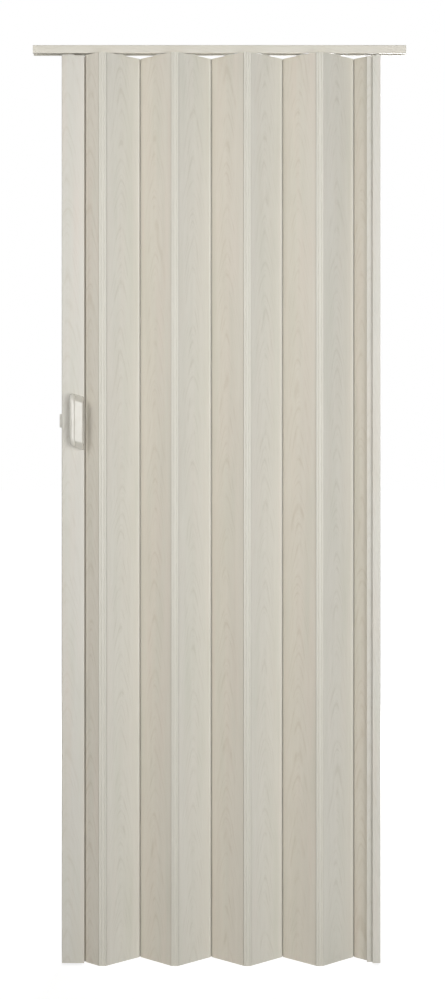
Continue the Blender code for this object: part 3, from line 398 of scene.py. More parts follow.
@dataclass(frozen=True)
class ZincPlate(Finish):
    """Bright zinc plating on rolled steel: grey and a little mottled, as bluish crystals catch the light."""

    crystal: str = "#b9bfc4"
    # The crystals of a plated screw are far below 0.1 mm. They are drawn at 1.1 mm, so that they show.
    crystal_size: float = 1.1

    def pattern(self, tree: bpy.types.NodeTree, shader: bpy.types.Node) -> None:
        """Mottled colour and roughness.

        Args:
            tree: The material's node tree.
            shader: The Principled shader that takes the pattern.
        """
        add = partial(add_node, tree)
        spangle = self.grit(tree, self.crystal_size, 3.0)
        colours = {0: spangle, 6: linear(self.colour), 7: linear(self.crystal)}
        tree.links.new(add("Mix", {"data_type": "RGBA"}, colours).outputs[2], shader.inputs["Base Color"])
        rough = {"Value": spangle, "To Min": self.roughness * 0.7, "To Max": self.roughness * 1.4}
        tree.links.new(add("MapRange", None, rough).outputs["Result"], shader.inputs["Roughness"])
        bump = {"Height": spangle, "Distance": 0.01 * MM, "Strength": 0.4}
        tree.links.new(add("Bump", None, bump).outputs["Normal"], shader.inputs["Normal"])


class Dress(Enum):
    """The finishes of the door."""

    # The same ash print, tinted with painted light: a painted cool grey light on the panel faces that look right,
    # and a painted warm light on those that look left.
    COOL_LIGHT_PAINTED_FILM = AshFilm("ash_film_cool_light_painted", "panel_pvc", "#dddad0", 0.40, dark="#c0bbac", blush="#dcd4c9")
    WARM_LIGHT_PAINTED_FILM = AshFilm("ash_film_warm_light_painted", "panel_pvc", "#ded8cb", 0.40, dark="#c4b9a5")
    # The posts' print is a shade darker, with fainter rings, and the rail's has the palest rings.
    POST_FILM = AshFilm("ash_film_post", "post_pvc", "#d6d3ca", 0.40, dark="#c2bcac", ring_strength=0.34)
    RAIL_FILM = AshFilm("ash_film_rail", "rail_pvc", "#dcd8cc", 0.40, dark="#c9c2b1")
    # Bare PVC where a profile is sawn or carries no film: off-white, dull and faintly lined.
    RAW_PVC = ExtrudedPVC("pvc_core_off_white", "panel_pvc", "#dcd9cf", 0.48)
    # Softer PVC through and through: cream and smooth, so that its grooves show as clear lines.
    STRIP_PVC = ExtrudedPVC("pvc_hinge_cream", "strip_pvc", "#dad7cc", 0.28, line_contrast=0.2)
    # Ivory ABS from a polished mould: even, with broad soft highlights under its gloss.
    HANDLE = MouldedPlastic(
        "handle_ivory_abs", "handle_plastic", "#dddad0", 0.22, cloud="#d8d4c9", sheen_coat=0.7
    )
    # White acetal: slippery, satin, a little whiter than the door.
    LATCH = MouldedPlastic("latch_white_acetal", "latch_plastic", "#eae7de", 0.33, cloud="#dfdcd2")
    # Uncoloured nylon: milky, with light that softens its edges.
    NYLON = NaturalNylon("glider_natural_nylon", "nylon", "#e6e4dc", 0.38, cloud="#dcdad1")
    # Zinc on steel: bluish grey metal with small bright glints.
    STEEL = ZincPlate("screw_zinc_plate", "zinc_steel", "#9ea3a8", 0.32, metallic=1.0)


# Mesh helpers
def moved(x: float, y: float, z: float) -> Matrix:
    """The matrix that moves by three distances."""
    return Matrix.Translation((x, y, z))


def turned(angle: float, axis: str) -> Matrix:
    """The matrix that turns by an angle about one of the axes."""
    return Matrix.Rotation(angle, 4, axis)


ALONG_X = turned(QUARTER, "Z") @ turned(QUARTER, "X")  # lays a profile's length, Z, along X


def arc(centre: Point, radius: float, start: float, end: float, steps: int) -> Outline:
    """Points on an arc, both ends included.

    Args:
        centre: The arc's centre.
        radius: Its radius.
        start: The angle of its first point, in radians.
        end: The angle of its last point.
        steps: How many chords it has.

    Returns:
        The points in order.
    """
    angles = [start + (end - start) * step / steps for step in range(steps + 1)]
    return [(centre[0] + radius * math.cos(a), centre[1] + radius * math.sin(a)) for a in angles]


def soften(outline: Outline, radius: float, steps: int = 3, least: float = math.radians(38)) -> Outline:
    """Rounds every corner of an outline that turns by more than an angle.

    Args:
        outline: The closed outline's points.
        radius: The radius wanted. It is less where the sides beside a corner are short.
        steps: How many chords each rounding has.
        least: The smallest turn that is rounded.

    Returns:
        The outline with its corners rounded.
    """
    most, side_share = math.pi - 0.01, 0.45
    made: Outline = []
    for before, here, after in zip(outline[-1:] + outline[:-1], outline, outline[1:] + outline[:1]):
        corner = Vector(here)
        to_here, from_here = corner - Vector(before), Vector(after) - corner
        shortest = min(to_here.length, from_here.length)
        if shortest < WELD:
            continue
        turn = abs(to_here.angle_signed(from_here))
        if turn < least or turn > most:
            made.append(here)
            continue
        reach = min(radius * math.tan(turn / 2), side_share * shortest)
        start, end = corner - to_here.normalized() * reach, corner + from_here.normalized() * reach
        for step in range(steps + 1):
            share = step / steps
            blend = start.lerp(corner, share).lerp(corner.lerp(end, share), share)
            made.append((blend.x, blend.y))
    return made


def turned_half(outline: Outline) -> Outline:
    """The same outline turned half a turn about the origin."""
    return [(-x, -y) for x, y in outline]


def rectangle(low: Point, high: Point) -> Outline:
    """A rectangle's corners, anticlockwise, from its lowest and highest ones."""
    return [(low[0], low[1]), (high[0], low[1]), (high[0], high[1]), (low[0], high[1])]


def rounded_rectangle(low: Point, high: Point, radius: float, steps: int = 8) -> Outline:
    """A rectangle with round corners, anticlockwise.

    Args:
        low: Its lowest corner.
        high: Its highest corner.
        radius: The corners' radius.
        steps: How many chords each corner has.

    Returns:
        The points in order.
    """
    centres = ((high[0], low[1], -1), (high[0], high[1], 0), (low[0], high[1], 1), (low[0], low[1], 2))
    points: Outline = []
    for x, y, quarter in centres:
        inset = tuple(at - math.copysign(radius, at - least - radius) for at, least in zip((x, y), low))
        points += arc(inset, radius, quarter * QUARTER, (quarter + 1) * QUARTER, steps)
    return points


def only(kind: type, geometry: Iterable) -> list:
    """The vertices, edges or faces in what an operator gives back."""
    return [part for part in geometry if isinstance(part, kind)]


def draw_line(shape: bmesh.types.BMesh, points: Iterable[Place], closed: bool) -> tuple[list, list]:
    """Draws vertices and the edges between them.

    Args:
        shape: The bmesh that gets them.
        points: The places, in order.
        closed: Whether an edge joins the last to the first.

    Returns:
        The vertices and the edges.
    """
    verts = [shape.verts.new(point) for point in points]
    ends = verts[1:] + verts[:1] if closed else verts[1:]
    return verts, [shape.edges.new(pair) for pair in zip(verts, ends)]


def raise_faces(shape: bmesh.types.BMesh, faces: list[bmesh.types.BMFace], height: float) -> None:
    """Extrudes faces upwards.

    Args:
        shape: The bmesh that they are in.
        faces: The faces.
        height: How far they go.
    """
    raised = bmesh.ops.extrude_face_region(shape, geom=faces)["geom"]
    bmesh.ops.translate(shape, verts=only(bmesh.types.BMVert, raised), vec=(0, 0, height))


def round_edges(
    shape: bmesh.types.BMesh, edges: Iterable[bmesh.types.BMEdge], radius: float, steps: int
) -> None:
    """Rounds edges.

    Args:
        shape: The bmesh that they are in.
        edges: The edges.
        radius: How far from the edge the rounding starts.
        steps: How many segments it has.
    """
    bmesh.ops.bevel(
        shape, geom=edges, offset=radius, segments=steps, profile=0.5, affect="EDGES", material=-1
    )


def mesh_of(shape: bmesh.types.BMesh, name: str) -> bpy.types.Mesh:
    """Turns a bmesh into a mesh with its normals out and its doubles merged, and frees it.

    Args:
        shape: The bmesh.
        name: The mesh's name.

    Returns:
        The mesh.
    """
    bmesh.ops.remove_doubles(shape, verts=shape.verts, dist=WELD)
    bmesh.ops.recalc_face_normals(shape, faces=shape.faces)
    mesh = bpy.data.meshes.new(name)
    shape.to_mesh(mesh)
    shape.free()
    return mesh


def block(low: Place, high: Place, round_by: float = 0.0, steps: int = 2) -> bpy.types.Mesh:
    """A box between two corners, with all its edges rounded.

    Args:
        low: Its lowest corner.
        high: Its highest corner.
        round_by: The edges' radius, or 0 for a box that only cuts.
        steps: How many segments each rounding has.

    Returns:
        The mesh.
    """
    low, high = Vector(low), Vector(high)
    shape = bmesh.new()
    place = Matrix.Translation((low + high) / 2) @ Matrix.Diagonal((*(high - low), 1.0))
    bmesh.ops.create_cube(shape, size=1.0, matrix=place)
    if round_by:
        round_edges(shape, shape.edges, round_by, steps)
    return mesh_of(shape, "block")


def spun(profile: Outline, steps: int = 32, place: Matrix | None = None) -> bpy.types.Mesh:
    """A turned body about Z, spun from a profile of (radius, height) points.

    Args:
        profile: The profile's points, from one end on the axis to the other.
        steps: How many segments a full turn has.
        place: Where it goes.

    Returns:
        The mesh.
    """
    shape = bmesh.new()
    verts, edges = draw_line(shape, [(r, 0.0, z) for r, z in profile], False)
    about = {"cent": (0, 0, 0), "axis": (0, 0, 1), "dvec": (0, 0, 0), "angle": 2 * math.pi}
    bmesh.ops.spin(shape, geom=verts + edges, steps=steps, use_merge=True, **about)
    if place is not None:
        bmesh.ops.transform(shape, matrix=place, verts=shape.verts)
    return mesh_of(shape, "spun")


def prism(outline: Outline, low: float, high: float, round_by: float = 0.0, steps: int = 2) -> bpy.types.Mesh:
    """A prism between two heights on a plain outline, with its sharp edges rounded.

    Args:
        outline: The outline's points.
        low: The lower end's height.
        high: The upper end's height.
        round_by: The radius of its edges, or 0 for sharp ones.
        steps: How many segments each rounding has.

    Returns:
        The mesh.
    """
    shape = bmesh.new()
    raise_faces(shape, [shape.faces.new([shape.verts.new((x, y, low)) for x, y in outline])], high - low)
    bmesh.ops.recalc_face_normals(shape, faces=shape.faces)
    if round_by:
        sharp = [e for e in shape.edges if e.calc_face_angle(0.0) > SMOOTH_ANGLE]
        round_edges(shape, sharp, round_by, steps)
    return mesh_of(shape, "prism")


def gathered(meshes: Iterable[bpy.types.Mesh]) -> bpy.types.Mesh:
    """Makes one mesh of several that don't touch.

    Args:
        meshes: The meshes.

    Returns:
        The new mesh.
    """
    shape = bmesh.new()
    for mesh in meshes:
        shape.from_mesh(mesh)
    return mesh_of(shape, "gathered")


def combined(base: bpy.types.Mesh, steps: Iterable[tuple[str, bpy.types.Mesh]]) -> bpy.types.Mesh:
    """One closed mesh made from a base by exact Boolean steps.

    Args:
        base: The mesh to start from.
        steps: An operation, UNION or DIFFERENCE, and its mesh, for each step.

    Returns:
        The new mesh.
    """
    body = bpy.data.objects.new("body", base)
    bpy.context.scene.collection.objects.link(body)
    tools = []
    for operation, mesh in steps:
        tool = bpy.data.objects.new("tool", mesh)
        bpy.context.scene.collection.objects.link(tool)
        tools.append(tool)
        modifier = body.modifiers.new(operation, "BOOLEAN")
        modifier.operation, modifier.solver, modifier.object = operation, "EXACT", tool
    bpy.context.view_layer.update()
    made = bpy.data.meshes.new_from_object(body.evaluated_get(bpy.context.evaluated_depsgraph_get()))
    for used in (body, *tools):
        bpy.data.objects.remove(used)
    return made


def piece(
    name: str, mesh: bpy.types.Mesh, dress: Iterable[Dress], body: str, node: str, matrix: Matrix
) -> bpy.types.Object:
    """Finishes one piece: its place goes into its mesh, it is dressed, and it rides and stands for its node.

    Args:
        name: The piece's name.
        mesh: Its mesh.
        dress: Its finishes, in the order of the faces' material indices.
        body: The CAD body that it rides on.
        node: The CAD node that it stands for.
        matrix: Where the mesh goes.

    Returns:
        The object.
    """
    mesh.transform(matrix)
    mesh.materials.clear()
    finishes = list(dress)
    for finish in finishes:
        mesh.materials.append(finish.value.make())
    mesh.name = name
    mesh.shade_smooth()
    mesh.set_sharp_from_angle(angle=SMOOTH_ANGLE)
    obj = bpy.data.objects.new(name, mesh)
    bpy.context.scene.collection.objects.link(obj)
    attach(obj, body)
    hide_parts(node)
    LOG.info("%s: %d faces, rides on %s", name, len(mesh.polygons), body)
    return obj


@dataclass(frozen=True)
class Profile:
    """An extruded hollow profile: its section, from above, and the chambers in it."""

    outline: Outline
    chambers: list[Outline]

    def extrude(self, low: float, high: float) -> bpy.types.Mesh:
        """Fills the section and extrudes it along Z.

        Args:
            low: The height of its lower end.
            high: The height of its upper end.

        Returns:
            The mesh, in the section's own frame.
        """
        shape = bmesh.new()
        edges = []
        for loop in (self.outline, *self.chambers):
            edges += draw_line(shape, [(x, y, low) for x, y in loop], True)[1]
        filled = bmesh.ops.triangle_fill(shape, use_beauty=True, edges=edges, normal=(0, 0, 1))["geom"]
        raise_faces(shape, only(bmesh.types.BMFace, filled), high - low)
        return mesh_of(shape, "profile")


class Skin(IntEnum):
    """Which of a profile's finishes lies on a face, as the face's material index."""

    FILM = 0
    BARE = 1
    REAR_FILM = 2


def one_finish(x: float, y: float, nx: float, ny: float) -> int:
    """The skin of a profile that has one finish all round, and another only on its cut ends."""
    return Skin.FILM


def lay_print(mesh: bpy.types.Mesh, skin_of: SkinOf, plank: float, middle: float = 0.0) -> bpy.types.Mesh:
    """Says which faces of a profile carry the film, and writes where each corner lies on the film's print.

    Args:
        mesh: The profile, still in its section's own frame.
        skin_of: Gives a side face's skin from its middle and its normal, both in plan.
        plank: A number of its own for each length of profile, so that no two show the same grain.
        middle: Where the print's arches are centred, across the profile.

    Returns:
        The same mesh.
    """
    grain = mesh.attributes.new("grain", "FLOAT_VECTOR", "CORNER").data
    for face in mesh.polygons:
        normal, centre = face.normal, face.center
        cut = abs(normal.z) > 0.5
        face.material_index = Skin.BARE if cut else skin_of(centre.x, centre.y, normal.x, normal.y)
        side = plank + (REAR_SHIFT if normal.y > 0 or cut else 0.0)
        for corner in face.loop_indices:
            x, y, z = mesh.vertices[mesh.loops[corner].vertex_index].co
            grain[corner].vector = (x - middle - y, z + PLANK_RISE * plank, side)
    return mesh


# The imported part's axes
def axis_point(joint: str) -> Vector:
    """Where a joint's axis stands at rest, in plan."""
    found = next(j for j in frame["joints"] if j["name"] == joint)
    return Vector(found["pos_m"][:2])


def fold_frame(own: Vector, onward: Vector) -> Matrix:
    """The frame of a body of the fold: its origin on its own axis and -X towards the next one.

    Args:
        own: The body's own axis, in plan.
        onward: The next body's axis, in plan.

    Returns:
        The matrix.
    """
    along = own - onward
    return moved(own.x, own.y, 0) @ turned(math.atan2(along.y, along.x), "Z")


@dataclass(frozen=True)
class SnapHinge:
    """The bead and the C-shaped socket that all profiles of the fold share.

    Bead, bore, ring and cup are radii: the bead's, the socket's inside and outside, and the hollow that the
    socket turns in. The neck is the thickness of the web that carries the bead.
    """

    bead: float = 2.0 * MM
    neck: float = 1.6 * MM
    bore: float = 2.2 * MM
    ring: float = 3.1 * MM
    cup: float = 3.4 * MM
    widest_open: float = math.radians(32)
    stacked: float = math.radians(80)
    margin: float = math.radians(5)

    @property
    def opening(self) -> tuple[float, float]:
        """The socket's opening.

        Returns:
            Where it starts and ends, as angles from the line towards the panel at no fold.
        """
        slack = math.asin(self.neck / 2 / self.bore) + self.margin
        return self.widest_open - slack, self.stacked + slack


HINGE = SnapHinge()


# The fold
@dataclass
class PanelSet:
    """The seven full panels and the two half panels, all of one hollow section."""

    pitch: float = 92 * MM
    half: float = 4 * MM
    wall: float = 1.0 * MM
    rib: float = 0.8 * MM
    rib_fillet: float = 0.5 * MM
    end_wall: float = 1.4 * MM
    outer_setback: float = 1.5 * MM
    post_setback: float = 5.0 * MM
    lip_width: float = 2.6 * MM
    lip_rise: float = 1.3 * MM
    lip_crest: float = 0.6 * MM
    lip_wrap: float = math.radians(35)
    corner: float = 0.35 * MM
    height: float = 2.019
    full_chambers: int = 5
    half_chambers: int = 3
    full_panels: int = 7

    def edge(self, axis_x: float, setback: float) -> Outline:
        """The right-hand edge of a panel, from its lower face round the bead to its upper one.

        Args:
            axis_x: The hinge axis.
            setback: How far before the axis the upper face ends.

        Returns:
            The points in order.
        """
        centre, half_neck = (axis_x, 0.0), HINGE.neck / 2
        tip = self.lip_wrap - QUARTER
        at_cup, at_bead = math.asin(half_neck / HINGE.cup), math.asin(half_neck / HINGE.bead)
        points = arc(centre, self.half, -QUARTER, tip, 10)
        points += arc(centre, HINGE.cup, tip, at_cup - math.pi, 16)
        points += arc(centre, HINGE.bead, at_bead - math.pi, math.pi - at_bead, 24)
        if setback > HINGE.cup:
            return points + [(axis_x - setback, half_neck), (axis_x - setback, self.half)]
        end = math.pi - math.acos(setback / HINGE.cup)
        return points + arc(centre, HINGE.cup, math.pi - at_cup, end, 8) + [(axis_x - setback, self.half)]

    def lip(self, middle: float, side: int) -> Outline:
        """The low wedge along one edge of a face, which stiffens it and catches the light.

        Args:
            middle: Where the wedge's middle lies, across the panel.
            side: The face that it is on, 1 for the upper one and -1 for the lower one.

        Returns:
            The points, from left to right on the lower face and from right to left on the upper one.
        """
        half, face, top = self.lip_width / 2, side * self.half, side * (self.half + self.lip_rise)
        points = [(middle - half, face), (middle + half - self.lip_crest, top), (middle + half, face)]
        return points if side < 0 else points[::-1]

    def chambers(self, length: float, count: int, right_setback: float) -> list[Outline]:
        """The hollow chambers between the ribs, with the small fillets that a die leaves.

        Args:
            length: The panel's length between its hinge axes.
            count: How many chambers it has.
            right_setback: How far before the right-hand axis its upper face ends.

        Returns:
            The chambers' outlines, from left to right, about the panel's middle.
        """
        start = -length / 2 + HINGE.cup + self.end_wall
        end = length / 2 - max(HINGE.cup, right_setback) - self.end_wall
        size = (end - start - (count - 1) * self.rib) / count
        inner = self.half - self.wall
        lows = [start + index * (size + self.rib) for index in range(count)]
        return [soften(rectangle((x, -inner), (x + size, inner)), self.rib_fillet) for x in lows]

    def skin_of(self, x: float, y: float, nx: float, ny: float) -> int:
        """The film lies on both faces and over the noses. Beads, cups, chambers and cut ends are bare.

        Args:
            x: The face's middle, across the panel. Not used.
            y: The same, through its thickness.
            nx: The face's normal, across the panel. Not used.
            ny: The same, through its thickness.

        Returns:
            The face's skin.
        """
        if abs(y) < 0.5 * self.half or ny * y <= 0:
            return Skin.BARE
        return Skin.FILM if y < 0 else Skin.REAR_FILM

    def section(self, full: bool, flipped: bool) -> Profile:
        """The section of a full or a half panel about its own hinge axis, which lies at its right-hand edge.

        Args:
            full: Whether it is a full panel.
            flipped: Whether it is turned over, as every second panel is.

        Returns:
            The profile.
        """
        length = self.pitch if full else self.pitch / 2
        if full:
            edge = self.edge(length / 2, self.outer_setback)
            outline = self.lip(length / 2 - self.lip_width / 2, -1) + edge + turned_half(edge)
            chambers = self.chambers(length, self.full_chambers, self.outer_setback)
        else:
            at_strip = [(-x, y) for x, y in reversed(self.edge(length / 2, self.outer_setback))]
            at_post = self.lip(length / 2 - self.post_setback - self.lip_width / 2 - self.lip_rise, 1)
            outline = self.edge(length / 2, self.post_setback) + at_post + at_strip
            chambers = self.chambers(length, self.half_chambers, self.post_setback)
        loops = [soften(outline, self.corner), *chambers]
        if flipped and full:
            loops = [[(x, -y) for x, y in reversed(loop)] for loop in loops]
        elif flipped:
            loops = [turned_half(loop) for loop in loops]
        loops = [[(x - length / 2, y) for x, y in loop] for loop in loops]
        return Profile(loops[0], loops[1:])

    def build(self) -> None:
        """Builds the nine panels from the jamb to the closing stile."""
        last = self.full_panels + 2
        own, onward = axis_point("fold"), axis_point(f"hinge_strip_{last - 1}_turn")
        self.dress("half_panel_jamb", self.section(False, False), fold_frame(own, onward), last, True)
        for number in range(last - 1, 1, -1):
            own = axis_point(f"panel_{number}_turn")
            onward = axis_point(f"hinge_strip_{number - 1}_turn")
            odd = number % 2 == 1
            self.dress(f"panel_{number}", self.section(True, odd), fold_frame(own, onward), number, odd)
        own, onward = axis_point("half_panel_lead_turn"), axis_point("stile_turn")
        self.dress("half_panel_lead", self.section(False, True), fold_frame(own, onward), 1, True)

    def dress(self, node: str, profile: Profile, matrix: Matrix, plank: int, faces_left: bool) -> None:
        """Extrudes one panel. The print with the painted cool light goes on the faces that look right, and the
        one with the painted warm light on the others.

        Args:
            node: The CAD node, whose body has the same name.
            profile: The section.
            matrix: The body's frame.
            plank: The panel's number.
            faces_left: Whether its front face looks to the left.
        """
        # The two tints are painted light: cool on the faces that look right, warm on those that look left.
        front, rear = Dress.COOL_LIGHT_PAINTED_FILM, Dress.WARM_LIGHT_PAINTED_FILM
        if faces_left:
            front, rear = rear, front
        length = self.pitch / 2 if node.startswith("half") else self.pitch
        mesh = lay_print(profile.extrude(0.0, self.height), self.skin_of, plank, -length / 2)
        piece(f"{node}_profile", mesh, (front, Dress.RAW_PVC, rear), node, node, matrix)


@dataclass
class StripSet:
    """The hinge strips: a web with two V-grooves on its face and two sockets behind it."""

    count: int = 8
    spacing: float = 10 * MM
    width: float = 16 * MM
    web: float = 1.6 * MM
    stand_off: float = 0.6 * MM
    groove_place: float = 3.3 * MM
    groove_width: float = 2.4 * MM
    groove_floor: float = 0.3 * MM
    groove_depth: float = 1.3 * MM
    corner: float = 0.35 * MM
    height: float = 2.019
    first_plank: int = 20

    def section(self) -> Profile:
        """A strip about its own middle, its face towards +Y.

        Returns:
            The profile.
        """
        shut, wide = HINGE.opening
        inside = HINGE.bore + self.stand_off
        face = inside + self.web
        centre, meets = (self.spacing / 2, 0.0), math.asin(inside / HINGE.ring)
        half = self.width / 2
        points = [(0.0, inside)]
        points += arc(centre, HINGE.ring, math.pi - meets, 2 * math.pi - wide, 12)
        points += arc(centre, HINGE.bore, 2 * math.pi - wide, -shut, 26)
        points += arc(centre, HINGE.ring, -shut, meets, 10)
        points += [(half, inside), (half, face)]
        place, reach, low = self.groove_place, self.groove_width / 2, self.groove_floor / 2
        points += [(place + reach, face), (place + low, face - self.groove_depth)]
        points += [(place - low, face - self.groove_depth), (place - reach, face)]
        mirrored = [(-x, y) for x, y in reversed(points[1:])]
        return Profile(soften(points + mirrored, self.corner), [])

    def build(self) -> None:
        """Builds the strips. Those with an odd number face the front, the others the rear."""
        profile = self.section()
        for number in range(self.count, 0, -1):
            node = f"hinge_strip_{number}"
            onward = f"panel_{number}_turn" if number > 1 else "half_panel_lead_turn"
            matrix = fold_frame(axis_point(f"{node}_turn"), axis_point(onward))
            turn = turned(math.pi if number % 2 else 0.0, "Z")
            mesh = lay_print(profile.extrude(0.0, self.height), one_finish, self.first_plank + number)
            place = matrix @ moved(-self.spacing / 2, 0, 0) @ turn
            piece(f"{node}_profile", mesh, (Dress.STRIP_PVC, Dress.RAW_PVC), node, node, place)


# Rail and posts
@dataclass
class TopRail:
    """The C-section rail that the door hangs in, with the countersunk holes of its ceiling screws."""

    length: float = 830 * MM
    width: float = 25 * MM
    height: float = 18 * MM
    wall: float = 1.6 * MM
    slot: float = 10 * MM
    corner: float = 1.5 * MM
    edge_round: float = 0.4 * MM
    underside: float = 2.022
    hole_radius: float = 2.25 * MM
    sink_radius: float = 4.2 * MM
    hole_shares: tuple[float, ...] = (-0.46, -0.155, 0.155, 0.46)
    plank: int = 40

    def section(self) -> Profile:
        """The rail seen from its end, open below, with small radii where its walls meet.

        Returns:
            The profile.
        """
        half, slot, corner, top = self.width / 2, self.slot / 2, self.corner, self.height
        inner, inner_top = half - self.wall, self.height - self.wall
        points = [(slot, 0.0), (half, 0.0)]
        points += arc((half - corner, top - corner), corner, 0.0, QUARTER, 8)
        points += arc((corner - half, top - corner), corner, QUARTER, math.pi, 8)
        points += [(-half, 0.0), (-slot, 0.0), (-slot, self.wall), (-inner, self.wall)]
        points += [(-inner, inner_top), (inner, inner_top), (inner, self.wall), (slot, self.wall)]
        return Profile(soften(points, self.edge_round), [])

    def skin_of(self, x: float, y: float, nx: float, ny: float) -> int:
        """The film lies on the two long faces. The slot, the inside and the top are bare.

        Args:
            x: The face's middle, through the rail's width.
            y: The same, up the rail. Not used.
            nx: The face's normal, through the rail's width.
            ny: The same, up the rail. Not used.

        Returns:
            The face's skin.
        """
        looks_out = nx * x > 0.3 * abs(x)
        return Skin.FILM if looks_out and abs(x) > self.width / 2 - self.corner else Skin.BARE

    def build(self) -> None:
        """Extrudes the rail, bores it and lays the film."""
        mesh = self.section().extrude(-self.length / 2, self.length / 2)
        inner_top, above = self.height - self.wall, self.height + self.wall
        sink_end = self.height - 0.2 * self.wall
        bore = [(0.0, inner_top - self.wall), (self.sink_radius, inner_top - self.wall)]
        bore += [(self.sink_radius, inner_top), (self.hole_radius, sink_end)]
        bore += [(self.hole_radius, above), (0.0, above)]
        places = [moved(share * self.length, 0, 0) for share in self.hole_shares]
        cutter = gathered(spun(bore, 32, ALONG_X.inverted() @ place) for place in places)
        mesh = lay_print(combined(mesh, [("DIFFERENCE", cutter)]), self.skin_of, self.plank)
        place = moved(0, 0, self.underside) @ ALONG_X
        piece("rail_profile", mesh, (Dress.RAIL_FILM, Dress.RAW_PVC), "rail_and_jamb", "rail", place)


@dataclass
class Posts:
    """The closing stile, the jamb post with its wing, and the channel that the jamb post snaps into."""

    half: float = 14 * MM
    wall: float = 1.6 * MM
    lip_wall: float = 1.4 * MM
    corner: float = 3 * MM
    edge_round: float = 0.5 * MM
    chamber_round: float = 1.0 * MM
    front_lip_setback: float = 2.0 * MM
    rear_lip_reach: float = 1.7 * MM
    partition: float = 5.2 * MM
    stem: float = 2.2 * MM
    height: float = 2.0165
    stile_width: float = 52.3 * MM
    rib_place: float = 24 * MM
    rib: float = 1.2 * MM
    jamb_width: float = 16 * MM
    wing_reach: float = 13.6 * MM
    wing_clearance: float = 0.8 * MM
    panel_half: float = 4 * MM
    channel_wall: float = 2 * MM
    channel_flange: float = 8 * MM
    seat_gap: float = 0.3 * MM
    hole_radius: float = 2.25 * MM
    sink_radius: float = 4.0 * MM
    channel_hole_shares: tuple[float, ...] = (0.07, 0.5, 0.93)
    stile_plank: int = 41
    jamb_plank: int = 42
    channel_plank: int = 43

    def folded_side(self) -> Outline:
        """A post's right-hand side, from its front face to its rear one: lips, partition, stem and socket.

        Returns:
            The points, about the hinge axis.
        """
        lip_inside, stem = self.half - self.lip_wall, self.stem / 2
        low, high = HINGE.opening
        stem_turn, axis = math.asin(stem / HINGE.ring), (0.0, 0.0)
        points = [(-self.front_lip_setback, -self.half), (-self.front_lip_setback, -lip_inside)]
        points += [(-self.partition, -lip_inside), (-self.partition, -stem)]
        points += arc(axis, HINGE.ring, stem_turn - math.pi, -high, 14)
        points += arc(axis, HINGE.bore, -high, -low - 2 * math.pi, 30)
        points += arc(axis, HINGE.ring, -low, math.pi - stem_turn, 20)
        points += [(-self.partition, stem), (-self.partition, lip_inside)]
        return points + [(self.rear_lip_reach, lip_inside), (self.rear_lip_reach, self.half)]

    def stile_section(self) -> Profile:
        """The closing stile about its hinge axis, with round closing edges, one rib and two chambers.

        Returns:
            The profile.
        """
        left, corner, inner = -self.stile_width, self.corner, self.half - self.wall
        outline = self.folded_side()
        outline += arc((left + corner, self.half - corner), corner, QUARTER, math.pi, 12)
        outline += arc((left + corner, corner - self.half), corner, math.pi, math.pi + QUARTER, 12)
        edge_chamber = (left + self.wall, -self.rib_place - self.rib / 2)
        fold_chamber = (self.rib / 2 - self.rib_place, -self.partition - self.wall)
        boxes = [rectangle((low, -inner), (high, inner)) for low, high in (edge_chamber, fold_chamber)]
        return Profile(soften(outline, self.edge_round), [soften(box, self.chamber_round) for box in boxes])

    def jamb_section(self) -> Profile:
        """The jamb post, open towards the wall: the folded side turned half round, with a wing over the hinge.

        Returns:
            The profile.
        """
        *behind_wing, partition_end, lip_inner, lip_outer = turned_half(self.folded_side())
        back = -self.panel_half - self.wing_clearance
        front = back - self.lip_wall
        wing = [(self.partition, back), (-self.wing_reach, back)]
        wing += [(-self.wing_reach, front), (self.partition, front)]
        outline = behind_wing + wing + [partition_end, lip_inner, lip_outer]
        right, inside, inner = self.jamb_width, self.partition + self.wall, self.half - self.wall
        outline += [(right, -self.half), (right, -inner), (inside, -inner)]
        outline += [(inside, inner), (right, inner), (right, self.half)]
        return Profile(soften(outline, self.edge_round), [])

    def channel_section(self) -> Profile:
        """The wall channel, a U that opens towards the door.

        Returns:
            The profile.
        """
        half = self.half - self.wall - self.seat_gap
        back, flange = self.jamb_width, self.jamb_width - self.channel_flange
        web, inner = back - self.channel_wall, half - self.channel_wall
        outline = [(flange, -half), (back, -half), (back, half), (flange, half)]
        outline += [(flange, inner), (web, inner), (web, -inner), (flange, -inner)]
        return Profile(soften(outline, self.edge_round), [])

    def skin_of(self, x: float, y: float, nx: float, ny: float) -> int:
        """The film lies on the faces that show. The chambers, the socket and the partition are bare.

        Args:
            x: The face's middle, across the post.
            y: The same, through its depth.
            nx: The face's normal, across the post.
            ny: The same, through its depth.

        Returns:
            The face's skin.
        """
        near_face = abs(y) > self.half - self.corner - 0.1 * MM
        outside = near_face and (ny * y > 0.1 * abs(y) or abs(y) < self.half - self.lip_wall)
        wing = x < -self.partition and -self.half < y < -self.panel_half and ny < -0.1
        closing = x < MM - self.stile_width and nx < -0.5
        return Skin.FILM if outside or wing or closing else Skin.BARE

    def jamb_skin_of(self, x: float, y: float, nx: float, ny: float) -> int:
        """As skin_of, with the wing's face too.

        Args:
            x: The face's middle, across the post.
            y: The same, through its depth.
            nx: The face's normal, across the post.
            ny: The same, through its depth.

        Returns:
            The face's skin.
        """
        wing = x < self.partition and y < -self.panel_half - self.wing_clearance and ny < -0.1
        return Skin.FILM if wing else self.skin_of(max(x, 0.0), y, nx, ny)

